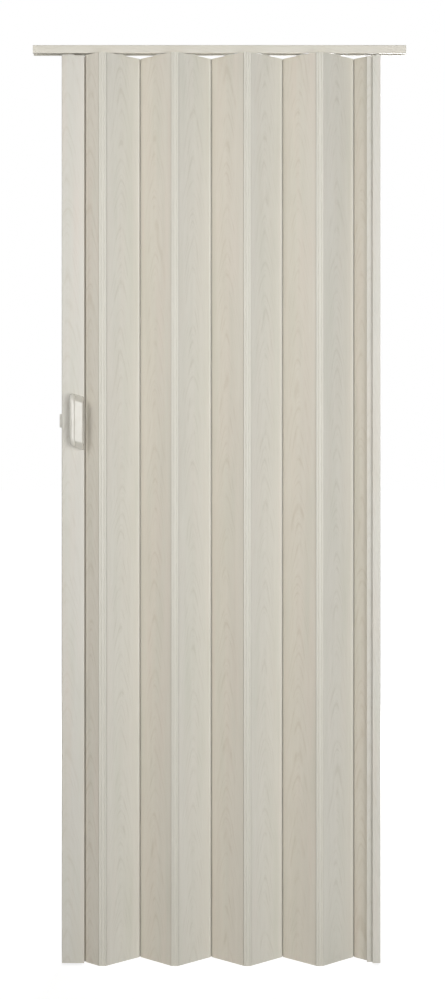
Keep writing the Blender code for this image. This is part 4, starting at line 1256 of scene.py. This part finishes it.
    def build(self) -> None:
        """Builds the stile with its openings, the jamb post and the channel with its screw holes."""
        film = (Dress.POST_FILM, Dress.RAW_PVC)
        stile, jamb = axis_point("stile_turn"), axis_point("fold")
        mesh = combined(self.stile_section().extrude(0.0, self.height), [("DIFFERENCE", self.stile_cuts())])
        mesh = lay_print(mesh, self.skin_of, self.stile_plank, -self.stile_width / 2)
        piece("stile_profile", mesh, film, "closing_stile", "stile_post", moved(stile.x, stile.y, 0))
        place = moved(jamb.x, jamb.y, 0)
        mesh = lay_print(self.jamb_section().extrude(0.0, self.height), self.jamb_skin_of, self.jamb_plank)
        piece("jamb_profile", mesh, film, "rail_and_jamb", "jamb_post", place)
        mesh = self.channel_section().extrude(0.0, self.height)
        sink_end, behind = 0.8 * self.channel_wall, 2 * self.channel_wall
        bore = [(0.0, -MM), (self.sink_radius, -MM), (self.sink_radius, 0.0)]
        bore += [(self.hole_radius, sink_end), (self.hole_radius, behind), (0.0, behind)]
        web = self.jamb_width - self.channel_wall
        heights = [share * self.height for share in self.channel_hole_shares]
        holes = gathered(spun(bore, 32, moved(web, 0, z) @ turned(QUARTER, "Y")) for z in heights)
        mesh = lay_print(combined(mesh, [("DIFFERENCE", holes)]), one_finish, self.channel_plank)
        piece("channel_profile", mesh, (Dress.RAW_PVC, Dress.RAW_PVC), "rail_and_jamb", "jamb_channel", place)

    def stile_cuts(self) -> bpy.types.Mesh:
        """The openings of the closing stile: latch slot, latch screws' countersinks and handle screws' ways.

        Returns:
            One cutter mesh, about the stile's axis.
        """
        latch, handle = Latch(), Handles()
        half, rise = latch.nose_thickness / 2 + latch.clearance, latch.nose_height / 2 + latch.clearance
        edge, deep = -self.stile_width, 2 * self.wall
        slot = prism(rounded_rectangle((-half, -rise), (half, rise), MM, 6), -deep, deep)
        slot.transform(moved(edge, 0, latch.height) @ ALONG_X)
        cuts = [slot]
        reach, way = self.half + deep, handle.screw_radius + handle.clearance
        for side in (-1, 1):
            place = moved(-handle.place, 0, handle.height + side * handle.screw_spacing / 2)
            bore = [(0.0, -reach), (way, -reach), (way, reach), (0.0, reach)]
            cuts.append(spun(bore, 32, place @ turned(QUARTER, "X")))
            cuts.append(latch.screw_hole(side, edge))
        return gathered(cuts)


# Gliders and hangers
@dataclass
class Carriers:
    """The nylon parts between door and rail: seven gliders with their plugs, and the posts' hangers."""

    rail_lip_top: float = 2.0236
    head_length: float = 20 * MM
    head_width: float = 19 * MM
    head_height: float = 4 * MM
    head_corner: float = 5 * MM
    neck_radius: float = 3.5 * MM
    neck_flare: float = 1.0 * MM
    stem_radius: float = 1.5 * MM
    snap_radius: float = 2.1 * MM
    snap_length: float = 3 * MM
    snap_shoulder: float = 0.2 * MM
    slit: float = 0.5 * MM
    slit_rise: float = 6 * MM
    seat_gap: float = 0.3 * MM
    bore_clearance: float = 0.2 * MM
    bore_sink: float = 0.8 * MM
    plug_flange: float = 1.5 * MM
    plug_length: float = 22 * MM
    plug_depth: float = 18 * MM
    hanger_head: float = 26 * MM
    hanger_flange: float = 2 * MM
    hanger_depth: float = 22 * MM
    edge_round: float = 0.5 * MM
    panels: PanelSet = field(default_factory=PanelSet)
    posts: Posts = field(default_factory=Posts)

    def rail_head(self, length: float) -> bpy.types.Mesh:
        """The oblong head that slides on the rail's lips, with rounded edges.

        Args:
            length: Its length along the rail.

        Returns:
            The mesh, about the neck's axis.
        """
        low, half = self.rail_lip_top + self.seat_gap, self.head_width / 2
        outline = rounded_rectangle((-length / 2, -half), (length / 2, half), self.head_corner, 8)
        return prism(outline, low, low + self.head_height, 1.2 * self.edge_round, 3)

    def glider(self) -> bpy.types.Mesh:
        """A glider: head, neck with a rounded end, stem and the slit snap end under the plug.

        Returns:
            The mesh, about its own axis.
        """
        neck, stem, snap, gap = self.neck_radius, self.stem_radius, self.snap_radius, self.seat_gap
        top = self.rail_lip_top + gap + self.head_height / 2
        neck_end = self.panels.height + 2 * gap + self.plug_flange
        snap_top = self.panels.height - self.plug_depth - gap
        snap_end = snap_top - self.snap_length
        profile = [(0.0, top), (neck, top), (neck, neck_end + self.edge_round)]
        profile += [(neck - self.edge_round, neck_end), (stem, neck_end), (stem, snap_top)]
        profile += [(snap - self.snap_shoulder, snap_top), (snap, snap_top - 1.5 * self.snap_shoulder)]
        profile += [(stem, snap_end), (0.0, snap_end)]
        half = self.slit / 2
        slit = block((-half, -2 * snap, snap_end - MM), (half, 2 * snap, snap_top + self.slit_rise))
        return combined(self.rail_head(self.head_length), [("UNION", spun(profile)), ("DIFFERENCE", slit)])

    def plug(self) -> bpy.types.Mesh:
        """The cap on a panel's top with a block in its middle chamber, bored for the glider's stem.

        Returns:
            The mesh, about the bore.
        """
        panels, gap = self.panels, self.seat_gap
        top, low = panels.height, panels.height + gap
        high = low + self.plug_flange
        half_length, half_width = self.plug_length / 2, panels.half - gap
        cap = rounded_rectangle((-half_length, -half_width), (half_length, half_width), half_width / 2, 6)
        chamber = panels.chambers(panels.pitch, panels.full_chambers, panels.outer_setback)[2]
        across = (max(x for x, _ in chamber) - min(x for x, _ in chamber)) / 2 - gap
        thick, deep = panels.half - panels.wall - gap, top - self.plug_depth
        body = block((-across, -thick, deep), (across, thick, low + self.plug_flange / 2), self.edge_round)
        bore, below = self.stem_radius + self.bore_clearance, top - 2 * self.plug_depth
        way = [(0.0, below), (bore, below), (bore, high - gap)]
        way += [(bore + self.bore_sink, high + self.edge_round), (0.0, high + self.edge_round)]
        steps = [("UNION", body), ("DIFFERENCE", spun(way))]
        return combined(prism(cap, low, high, 0.6 * self.edge_round), steps)

    def hanger(self, block_x: Point, inside: float) -> bpy.types.Mesh:
        """A post's hanger: head in the rail, neck, flange on the post's top and block inside it.

        Args:
            block_x: The block's low and high ends about the neck.
            inside: Half the block's width.

        Returns:
            The mesh, about the neck.
        """
        posts = self.posts
        low = posts.height + self.seat_gap
        high, middle = low + self.hanger_flange, low + self.hanger_flange / 2
        flange_x = (block_x[0] - posts.wall / 2, block_x[1] + posts.rib / 2)
        reach = posts.half - posts.wall / 2
        body = (block_x[0], -inside, posts.height - self.hanger_depth), (block_x[1], inside, middle)
        flange = rounded_rectangle((flange_x[0], -reach), (flange_x[1], reach), 2 * self.edge_round, 4)
        head_middle = self.rail_lip_top + self.seat_gap + self.head_height / 2
        wide, slim = self.neck_radius + self.neck_flare, self.neck_radius
        neck = [(0.0, middle), (wide, middle), (wide, high), (slim, high + self.neck_flare)]
        neck += [(slim, head_middle), (0.0, head_middle)]
        length = min(self.hanger_head, 2 * (self.head_length + min(flange_x[1], -flange_x[0])))
        parts = (block(*body, self.edge_round), spun(neck), self.rail_head(length))
        return combined(prism(flange, low, high, 0.6 * self.edge_round), [("UNION", part) for part in parts])

    def build(self) -> None:
        """Builds the gliders and plugs from the jamb to the stile, then the two hangers."""
        for number in range(self.panels.full_panels + 1, 1, -1):
            node, body = f"glider_{number}", f"panel_{number}"
            own = axis_point(f"{node}_turn")
            piece(f"{node}_moulding", self.glider(), (Dress.NYLON,), node, node, moved(own.x, own.y, 0))
            place = fold_frame(axis_point(f"{body}_turn"), axis_point(f"hinge_strip_{number - 1}_turn"))
            place = place @ moved(-self.panels.pitch / 2, 0, 0)
            name, plug = f"plug_{number}_moulding", f"glider_plug_{number}"
            piece(name, self.plug(), (Dress.NYLON,), body, plug, place)
        posts, gap = self.posts, self.seat_gap
        inside = posts.half - posts.wall - gap
        ends = gap + posts.wall - posts.stile_width, -posts.rib_place - posts.rib / 2 - gap
        self.hang("stile_hanger", axis_point("stile_turn"), "closing_stile", ends, inside)
        ends = posts.partition + posts.wall + gap, posts.jamb_width - posts.channel_wall - gap
        self.hang("jamb_hanger", axis_point("fold"), "rail_and_jamb", ends, inside - posts.channel_wall - gap)

    def hang(self, node: str, axis: Vector, body: str, ends: Point, inside: float) -> None:
        """Builds one hanger between two places beside its post's axis.

        Args:
            node: The CAD node.
            axis: The post's axis, in plan.
            body: The CAD body that it rides on.
            ends: Where its block starts and ends beside the axis.
            inside: Half the block's width.
        """
        middle = (ends[0] + ends[1]) / 2
        mesh = self.hanger((ends[0] - middle, ends[1] - middle), inside)
        piece(f"{node}_moulding", mesh, (Dress.NYLON,), body, node, moved(axis.x + middle, axis.y, 0))


# Screws
@dataclass(frozen=True)
class Screw:
    """A zinc-plated screw with a cross recess. Its head's seat, or a sunk head's face, is at the origin."""

    radius: float
    head_radius: float
    head_height: float
    length: float
    thread_length: float
    sunk: bool
    pitch: float = 1.25 * MM
    thread_depth: float = 0.35 * MM
    tip_radius: float = 0.35 * MM
    thread_base: float = 0.4 * MM
    thread_steps: int = 20
    runout: float = 0.3 * MM
    rim: float = 0.15 * MM
    dome_share: float = 0.55
    dome_steps: int = 8
    recess_width: float = 0.9 * MM
    recess_share: float = 0.62
    recess_depth_share: float = 0.75

    def profile(self) -> Outline:
        """The screw's outline without its thread, from the head's top on the axis to the tip, along +Z.

        Returns:
            The points, as radius and height.
        """
        core, start = self.radius - self.thread_depth, self.length - self.thread_length
        shaft = [(self.radius, start - self.runout), (core, start), (core, self.length - self.radius)]
        shaft += [(self.tip_radius, self.length), (0.0, self.length)]
        if self.sunk:
            head = [(0.0, 0.0), (self.head_radius - self.rim, 0.0), (self.head_radius, self.rim)]
            return head + [(self.radius, self.head_radius - self.radius)] + shaft
        drop = self.dome_share * self.head_height
        angles = [QUARTER * step / self.dome_steps for step in range(self.dome_steps + 1)]
        wide, top = self.head_radius, -self.head_height
        dome = [(wide * math.sin(a), top + drop * (1 - math.cos(a))) for a in angles]
        return dome + [(wide, 0.0), (self.radius, 0.0)] + shaft

    def thread(self) -> bpy.types.Mesh:
        """A sharp ridge wound round the core, from a triangle spun along the shaft.

        Returns:
            The mesh.
        """
        shape = bmesh.new()
        base, half = self.radius - self.thread_base, 0.3 * self.pitch
        turns = int((self.thread_length - self.radius) / self.pitch) - 1
        start = self.length - self.thread_length + self.pitch / 2
        corners = ((base, 0, start - half), (self.radius, 0, start), (base, 0, start + half))
        verts, edges = draw_line(shape, corners, True)
        steps, rise = self.thread_steps * turns, (0, 0, self.pitch / self.thread_steps)
        wind = {"cent": (0, 0, 0), "axis": (0, 0, 1), "dvec": rise, "angle": 2 * math.pi * turns}
        bmesh.ops.spin(shape, geom=verts + edges, steps=steps, **wind)
        bmesh.ops.holes_fill(shape, edges=shape.edges)
        return mesh_of(shape, "thread")

    def mesh(self) -> bpy.types.Mesh:
        """The whole screw, with its recess cut in the head.

        Returns:
            The mesh.
        """
        top = 0.0 if self.sunk else -self.head_height
        arm, half = self.recess_share * self.head_radius, self.recess_width / 2
        thick = self.head_radius - self.radius if self.sunk else self.head_height
        depth = top + self.recess_depth_share * thick
        arms = [block((-x, -y, top - MM), (x, y, depth)) for x, y in ((arm, half), (half, arm))]
        head = combined(spun(self.profile()), [("DIFFERENCE", cut) for cut in arms])
        return gathered([head, self.thread()])


# Handles
@dataclass
class Handles:
    """The bow handles on the stile's two faces, one moulding, and the screws that join them from the rear."""

    height: float = 1.2035
    place: float = 17.6 * MM
    stile_half: float = 14 * MM
    length: float = 118 * MM
    width: float = 30 * MM
    proud: float = 29.95 * MM
    bar_radius: float = 6.5 * MM
    bar_bend: float = 13 * MM
    blade_drop: float = 4 * MM
    blade_thickness: float = 6 * MM
    blade_slope: float = 14.5 * MM
    blade_round: float = 5 * MM
    foot: float = 14 * MM
    flank: float = 5.2 * MM
    inner_round: float = 0.7 * MM
    slant: float = 0.3
    overrun: float = 4 * MM
    clearance: float = 0.2 * MM
    seat_gap: float = 0.3 * MM
    screw_spacing: float = 104 * MM
    screw_radius: float = 1.75 * MM
    head_radius: float = 3.5 * MM
    head_height: float = 2.5 * MM
    screw_seat: float = 6 * MM
    screw_bite: float = 10 * MM

    def bar(self) -> bpy.types.Mesh:
        """The round bar of the bow. Half of it is extruded and spun round its bend, then mirrored.

        Returns:
            The mesh. +Y stands proud of the stile, and the bar lies at the +X side.
        """
        shape = bmesh.new()
        vert, edge = bmesh.types.BMVert, bmesh.types.BMEdge
        reach, bend = self.proud - self.bar_radius, self.bar_bend
        rise = self.length / 2 - self.bar_radius - self.seat_gap
        x = self.width / 2 - self.bar_radius
        ring = bmesh.ops.create_circle(shape, segments=40, radius=self.bar_radius, matrix=moved(x, reach, 0))
        rim = list({e for v in ring["verts"] for e in v.link_edges})
        grown = bmesh.ops.extrude_edge_only(shape, edges=rim)["geom"]
        bmesh.ops.translate(shape, verts=only(vert, grown), vec=(0, 0, rise - bend))
        bent = {"cent": (x, reach - bend, rise - bend), "axis": (1, 0, 0), "dvec": (0, 0, 0)}
        rim = only(vert, grown) + only(edge, grown)
        rim = bmesh.ops.spin(shape, geom=rim, angle=QUARTER, steps=14, **bent)["geom_last"]
        grown = bmesh.ops.extrude_edge_only(shape, edges=only(edge, rim))["geom"]
        bmesh.ops.translate(shape, verts=only(vert, grown), vec=(0, bend - reach - self.overrun, 0))
        whole = shape.verts[:] + shape.edges[:] + shape.faces[:]
        bmesh.ops.mirror(shape, geom=whole, matrix=Matrix.Identity(4), merge_dist=WELD, axis="Z")
        bmesh.ops.remove_doubles(shape, verts=shape.verts, dist=WELD)
        bmesh.ops.holes_fill(shape, edges=shape.edges)
        return mesh_of(shape, "bar")

    def blade(self) -> bpy.types.Mesh:
        """The thumb plate beside the bar: a bow with sloped ends, a soft broad flank and round finger edges.

        Returns:
            The mesh, in the bar's frame.
        """
        top, face, corner = self.length / 2, self.proud - self.blade_drop, self.blade_thickness
        gap_depth, gap_top = face - self.blade_thickness, self.length / 2 - self.foot
        upper = [(-self.overrun, gap_top)]
        upper += arc((gap_depth - corner, gap_top - corner), corner, QUARTER, 0.0, 8)
        inner = upper + [(y, -z) for y, z in reversed(upper)]
        outer = [(-self.overrun, -top), (self.blade_thickness, -top), (face, self.blade_slope - top)]
        outer += [(y, -z) for y, z in reversed(outer)]
        slopes = soften(outer, self.blade_round, 6, math.radians(20))
        low = -self.width / 2
        shape = bmesh.new()
        shape.from_mesh(prism(inner + slopes, low, low + self.width - self.bar_radius))
        flank = [e for e in shape.edges if all(v.co.z < low + WELD for v in e.verts)]
        outside = [e for e in flank if any(self.beyond_gap(v.co) for v in e.verts)]
        inside = [e for e in flank if e not in outside]
        for edges, radius, steps in ((outside, self.flank, 8), (inside, self.inner_round, 3)):
            round_edges(shape, [e for e in edges if e.is_valid], radius, steps)
        bmesh.ops.transform(shape, matrix=ALONG_X, verts=shape.verts)
        return mesh_of(shape, "blade")

    def beyond_gap(self, place: Vector) -> bool:
        """Whether a point of the blade's outline lies on its outer side.

        Args:
            place: The point, its depth first and its height second.

        Returns:
            True for the face and the slopes, False for the finger gap.
        """
        face, top = self.proud - self.blade_drop, self.length / 2
        slope = (face - place.x) * self.blade_slope / (face - self.blade_thickness)
        return abs(place.y) > top - self.blade_slope + slope - self.blade_thickness / 2 or place.x > face - MM

    def moulding(self, through: bool) -> bpy.types.Mesh:
        """Bar and blade fused, cut level at the feet, slanted and bored for the screws.

        Args:
            through: Whether the screws go through it, as in the rear handle. The front one's bores are blind.

        Returns:
            The mesh.
        """
        wide, tall, deep = self.width, self.length, self.proud
        below = block((-wide, -deep, -tall), (wide, self.seat_gap, tall))
        mesh = combined(self.blade(), [("UNION", self.bar()), ("DIFFERENCE", below)])
        slanted = Matrix.Identity(4)
        slanted[2][0] = self.slant
        mesh.transform(slanted)
        way, far = self.screw_radius + self.clearance, self.proud + self.overrun
        head, blind = self.head_radius + self.clearance, self.screw_bite + self.seat_gap
        bore = [(0.0, blind), (way, blind)]
        if through:
            bore = [(0.0, far), (head, far), (head, self.screw_seat), (way, self.screw_seat)]
        bore += [(way, -self.overrun), (0.0, -self.overrun)]
        heights = [side * self.screw_spacing / 2 for side in (-1, 1)]
        bores = gathered(spun(bore, 32, moved(0, 0, z) @ turned(-QUARTER, "X")) for z in heights)
        return combined(mesh, [("DIFFERENCE", bores)])

    def build(self) -> None:
        """Builds both handles and their two screws."""
        axis, body = axis_point("stile_turn"), "closing_stile"
        x = axis.x - self.place
        for name, side, turn in (("front", -1, math.pi), ("rear", 1, 0.0)):
            place = moved(x, axis.y + side * self.stile_half, self.height) @ turned(turn, "Z")
            mesh = self.moulding(name == "rear")
            piece(f"{name}_bow", mesh, (Dress.HANDLE,), body, f"handle_{name}", place)
        length = self.screw_seat + 2 * self.stile_half + self.screw_bite
        screw = Screw(self.screw_radius, self.head_radius, self.head_height, length, self.screw_bite, False)
        y = axis.y + self.stile_half + self.screw_seat + self.seat_gap
        for name, side in (("upper", 1), ("lower", -1)):
            place = moved(x, y, self.height + side * self.screw_spacing / 2) @ turned(QUARTER, "X")
            piece(f"bow_screw_{name}", screw.mesh(), (Dress.STEEL,), body, f"handle_screw_{name}", place)


# Spring latch
@dataclass
class Latch:
    """The snap latch in the closing edge: case, sliding nose, its spring and the case's two screws."""

    height: float = 1.205
    edge: float = 52.3 * MM
    post_half: float = 14 * MM
    post_wall: float = 1.6 * MM
    seat_gap: float = 0.3 * MM
    clearance: float = 0.3 * MM
    nose_height: float = 30 * MM
    nose_thickness: float = 10 * MM
    nose_reach: float = 5.6 * MM
    nose_round: float = 1.1 * MM
    shoulder_share: float = 0.33
    tip_share: float = 0.45
    flange: float = 2.5 * MM
    flange_margin: float = 2 * MM
    flange_round: float = 0.4 * MM
    pin_radius: float = 2 * MM
    pin_length: float = 4 * MM
    pin_chamfer: float = 0.6 * MM
    case_height: float = 66 * MM
    case_depth: float = 22.0 * MM
    case_wall: float = 2 * MM
    case_round: float = 0.8 * MM
    screw_spacing: float = 50 * MM
    screw_radius: float = 1.5 * MM
    head_radius: float = 3 * MM
    screw_length: float = 12 * MM
    thread_share: float = 0.7
    hole_clearance: float = 0.2 * MM
    overcut: float = 2 * MM
    travel: float = 5 * MM
    spring_length: float = 16.6 * MM
    spring_radius: float = 3.2 * MM
    spring_wire: float = 0.4 * MM
    spring_turns: int = 5
    closed_turn: float = 2.1  # a closed turn's rise, in radii of the wire

    def nose(self) -> bpy.types.Mesh:
        """The bolt: a nose with sloped, rounded flanks, its stop flange and the pin that centres the spring.

        Returns:
            The mesh. The stile's closing face is at zero, and the bolt slides along X.
        """
        half, rise, reach = self.nose_thickness / 2, self.nose_height / 2, self.nose_reach
        front, margin = self.post_wall + self.seat_gap + self.clearance, self.flange_margin
        back, pin = front + self.flange, self.pin_radius
        pin_end, slim = back + self.pin_length, pin - self.pin_chamfer
        shoulder, tip = -reach * self.shoulder_share, half * self.tip_share
        upper = [(back, half), (shoulder, half), (-reach, tip)]
        outline = upper + [(x, -y) for x, y in reversed(upper)]
        line = [(0.0, front), (pin, front), (pin, pin_end - self.pin_chamfer)]
        line += [(slim, pin_end), (0.0, pin_end)]
        corner = (back, half + margin, rise + margin)
        flange = block((front, -corner[1], -corner[2]), corner, self.flange_round)
        steps = [("UNION", flange), ("UNION", spun(line, 32, turned(QUARTER, "Y")))]
        return combined(prism(outline, -rise, rise, self.nose_round, 4), steps)

    def case(self) -> bpy.types.Mesh:
        """The case behind the closing wall: a block with the bolt's pocket and the screws' holes.

        Returns:
            The mesh, in the bolt's frame.
        """
        front, margin = self.post_wall + self.seat_gap, self.flange_margin + self.clearance
        back, half = front + self.case_depth, self.post_half - self.post_wall - self.seat_gap
        wide, tall = self.nose_thickness / 2 + margin, self.nose_height / 2 + margin
        rise, cut = self.case_height / 2, self.overcut
        pocket = block((front - cut, -wide, -tall), (back - self.case_wall, wide, tall))
        hole, deep = self.screw_radius + self.hole_clearance, self.screw_length + self.seat_gap
        bore = [(0.0, -cut), (hole, -cut), (hole, deep), (0.0, deep)]
        places = [moved(front, 0, side * self.screw_spacing / 2) for side in (-1, 1)]
        holes = [spun(bore, 24, place @ turned(QUARTER, "Y")) for place in places]
        whole = block((front, -half, -rise), (back, half, rise), self.case_round, 3)
        return combined(whole, [("DIFFERENCE", gathered([pocket, *holes]))])

    def spring(self) -> bpy.types.Mesh:
        """The compression spring: one tube, wound with a closed turn at each end.

        Returns:
            The mesh, wound along +Z from its own start.
        """
        shape = bmesh.new()
        wire, steps = self.spring_wire, 24
        closed = self.closed_turn * wire
        pitch = (self.spring_length - 2 * wire - 2 * closed) / self.spring_turns
        place = moved(self.spring_radius, 0, wire) @ turned(QUARTER, "X")
        ring = bmesh.ops.create_circle(shape, segments=12, radius=wire, matrix=place)["verts"]
        rim = ring + list({edge for vert in ring for edge in vert.link_edges})
        wind = {"cent": (0, 0, 0), "axis": (0, 0, 1), "angle": 2 * math.pi, "steps": steps}
        for rise in (closed, *[pitch] * self.spring_turns, closed):
            rim = bmesh.ops.spin(shape, geom=rim, dvec=(0, 0, rise / steps), **wind)["geom_last"]
        bmesh.ops.holes_fill(shape, edges=shape.edges)
        return mesh_of(shape, "spring")

    def screw_hole(self, side: int, edge: float) -> bpy.types.Mesh:
        """The countersunk way of one case screw through the closing wall.

        Args:
            side: 1 for the upper screw and -1 for the lower one.
            edge: Where the closing face is.

        Returns:
            The cutter, about the stile's axis.
        """
        head, way, deep = self.head_radius, self.screw_radius, 2 * self.overcut
        head, way = head + self.hole_clearance, way + self.hole_clearance
        outline = [(0.0, -deep), (head, -deep), (head, 0.0), (way, head - way), (way, deep), (0.0, deep)]
        place = moved(edge, 0, self.height + side * self.screw_spacing / 2)
        return spun(outline, 32, place @ turned(QUARTER, "Y"))

    def build(self) -> None:
        """Builds the bolt, the case, its screws and the spring."""
        axis, body = axis_point("stile_turn"), "closing_stile"
        place = moved(axis.x - self.edge, axis.y, self.height)
        piece("latch_nose", self.nose(), (Dress.LATCH,), "latch_bolt", "latch_bolt", place)
        piece("latch_housing", self.case(), (Dress.LATCH,), body, "latch_case", place)
        thread = self.thread_share * self.screw_length
        screw = Screw(self.screw_radius, self.head_radius, 0.0, self.screw_length, thread, True, MM)
        for name, side in (("upper", 1), ("lower", -1)):
            at = place @ moved(0, 0, side * self.screw_spacing / 2) @ turned(QUARTER, "Y")
            piece(f"case_screw_{name}", screw.mesh(), (Dress.STEEL,), body, f"latch_screw_{name}", at)
        start = self.post_wall + 2 * self.seat_gap + self.clearance + self.flange
        at = place @ moved(start, 0, 0) @ turned(QUARTER, "Y")
        coil = piece("latch_coil", self.spring(), (Dress.STEEL,), body, "latch_spring", at)
        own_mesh(coil)


# Studio
@dataclass(frozen=True)
class Lamp:
    """A soft rectangular lamp: its place and size, its power in watts and the height that it looks at."""

    name: str
    place: Place
    size: Point
    power: float
    aim: float

    def build(self) -> None:
        """Hangs the lamp and turns it to the door."""
        data = bpy.data.lights.new(self.name, "AREA")
        data.shape, data.energy = "RECTANGLE", self.power
        data.size, data.size_y = self.size
        lamp = bpy.data.objects.new(self.name, data)
        lamp.location = self.place
        look = Vector((0, 0, self.aim)) - Vector(self.place)
        lamp.rotation_euler = look.to_track_quat("-Z", "Y").to_euler()
        bpy.context.scene.collection.objects.link(lamp)


@dataclass
class Studio:
    """Pale floor, white surroundings, soft lamps and the camera."""

    camera_place: Place = (0.0, -3.5, 1.141)
    lens: float = 56.5
    shift: Point = (0.003, -0.0505)
    floor_z: float = -0.006
    floor_size: float = 40.0
    floor_grey: float = 0.35
    floor_seen_grey: float = 0.8
    sweep: Point = (0.7, 3.0)
    sweep_glow: Point = (0.84, 1.0)
    ambient: float = 0.06
    lamps: tuple[Lamp, ...] = (
        Lamp("lamp_left", (-1.7, -1.5, 2.0), (1.1, 1.2), 15.0, 1.5),
        Lamp("lamp_right", (1.75, -3.0, 1.35), (1.8, 2.2), 35.5, 1.2),
        Lamp("lamp_front", (0.3, -3.5, 1.3), (3.0, 2.2), 38.5, 1.1),
        Lamp("lamp_high", (1.0, -3.0, 3.1), (1.4, 0.8), 12.0, 1.3),
        Lamp("lamp_rear", (0.9, 3.2, 1.9), (1.8, 1.8), 120.0, 1.1),
    )

    def build(self) -> None:
        """Makes the camera, the lamps, the floor and the world."""
        self.make_camera()
        for lamp in self.lamps:
            lamp.build()
        self.make_floor()
        self.make_world()
        bpy.context.scene.view_settings.view_transform = "Standard"

    def make_camera(self) -> None:
        """A level camera in front of the door."""
        data = bpy.data.cameras.new("camera")
        data.lens = self.lens
        data.shift_x, data.shift_y = self.shift
        camera = bpy.data.objects.new("camera", data)
        camera.location = self.camera_place
        camera.rotation_euler = (QUARTER, 0.0, 0.0)
        bpy.context.scene.collection.objects.link(camera)
        bpy.context.scene.camera = camera

    def make_floor(self) -> None:
        """A matt white floor. The camera sees it white, less the door's soft shadow."""
        shape = bmesh.new()
        level = moved(0, 0, self.floor_z)
        bmesh.ops.create_grid(shape, x_segments=2, y_segments=2, size=self.floor_size, matrix=level)
        floor = bpy.data.objects.new("floor", mesh_of(shape, "floor"))
        bpy.context.scene.collection.objects.link(floor)
        material = bpy.data.materials.new("floor_white_paper")
        material.use_nodes = True
        tree = material.node_tree
        tree.nodes.clear()
        add = partial(add_node, tree)
        seen = add("LightPath").outputs["Is Camera Ray"]
        greys = {0: seen, 6: (*[self.floor_seen_grey] * 3, 1.0), 7: (*[self.floor_grey] * 3, 1.0)}
        matt = add("BsdfDiffuse", None, {"Color": add("Mix", {"data_type": "RGBA"}, greys).outputs[2]})
        place = add("TexCoord").outputs["Object"]
        away = add("VectorMath", {"operation": "LENGTH"}, {0: place}).outputs["Value"]
        near, far = self.sweep
        low, high = self.sweep_glow
        sweep = {"Value": away, "From Min": near, "From Max": far, "To Min": low, "To Max": high}
        sweep = add("MapRange", None, sweep).outputs["Result"]
        lift = add("Math", {"operation": "MULTIPLY"}, {0: seen, 1: sweep}).outputs[0]
        glow = add("Emission", None, {"Strength": lift})
        both = add("AddShader", None, {0: matt.outputs["BSDF"], 1: glow.outputs["Emission"]})
        add("OutputMaterial", None, {"Surface": both.outputs["Shader"]})
        floor.data.materials.append(material)

    def make_world(self) -> None:
        """White where the camera, gloss or clear plastic looks, and a dimmer even light on the door."""
        world = bpy.data.worlds.new("studio")
        world.use_nodes = True
        bpy.context.scene.world = world
        world.node_tree.nodes.clear()
        add = partial(add_node, world.node_tree)
        path = add("LightPath").outputs
        shown = path["Is Camera Ray"]
        for ray in ("Is Glossy Ray", "Is Transmission Ray"):
            shown = add("Math", {"operation": "MAXIMUM"}, {0: shown, 1: path[ray]}).outputs[0]
        strength = {"Value": shown, "To Min": self.ambient, "To Max": 1.0}
        strength = add("MapRange", None, strength).outputs["Result"]
        sky = add("Background", None, {"Color": (1.0, 1.0, 1.0, 1.0), "Strength": strength})
        add("OutputWorld", None, {"Surface": sky.outputs["Background"]})


def main() -> None:
    """Builds and dresses the door, then the studio."""
    logging.basicConfig(level=logging.INFO, format="%(message)s")
    for part in (TopRail(), Posts(), PanelSet(), StripSet(), Carriers(), Handles(), Latch(), Studio()):
        part.build()


if __name__ == "__main__":
    main()
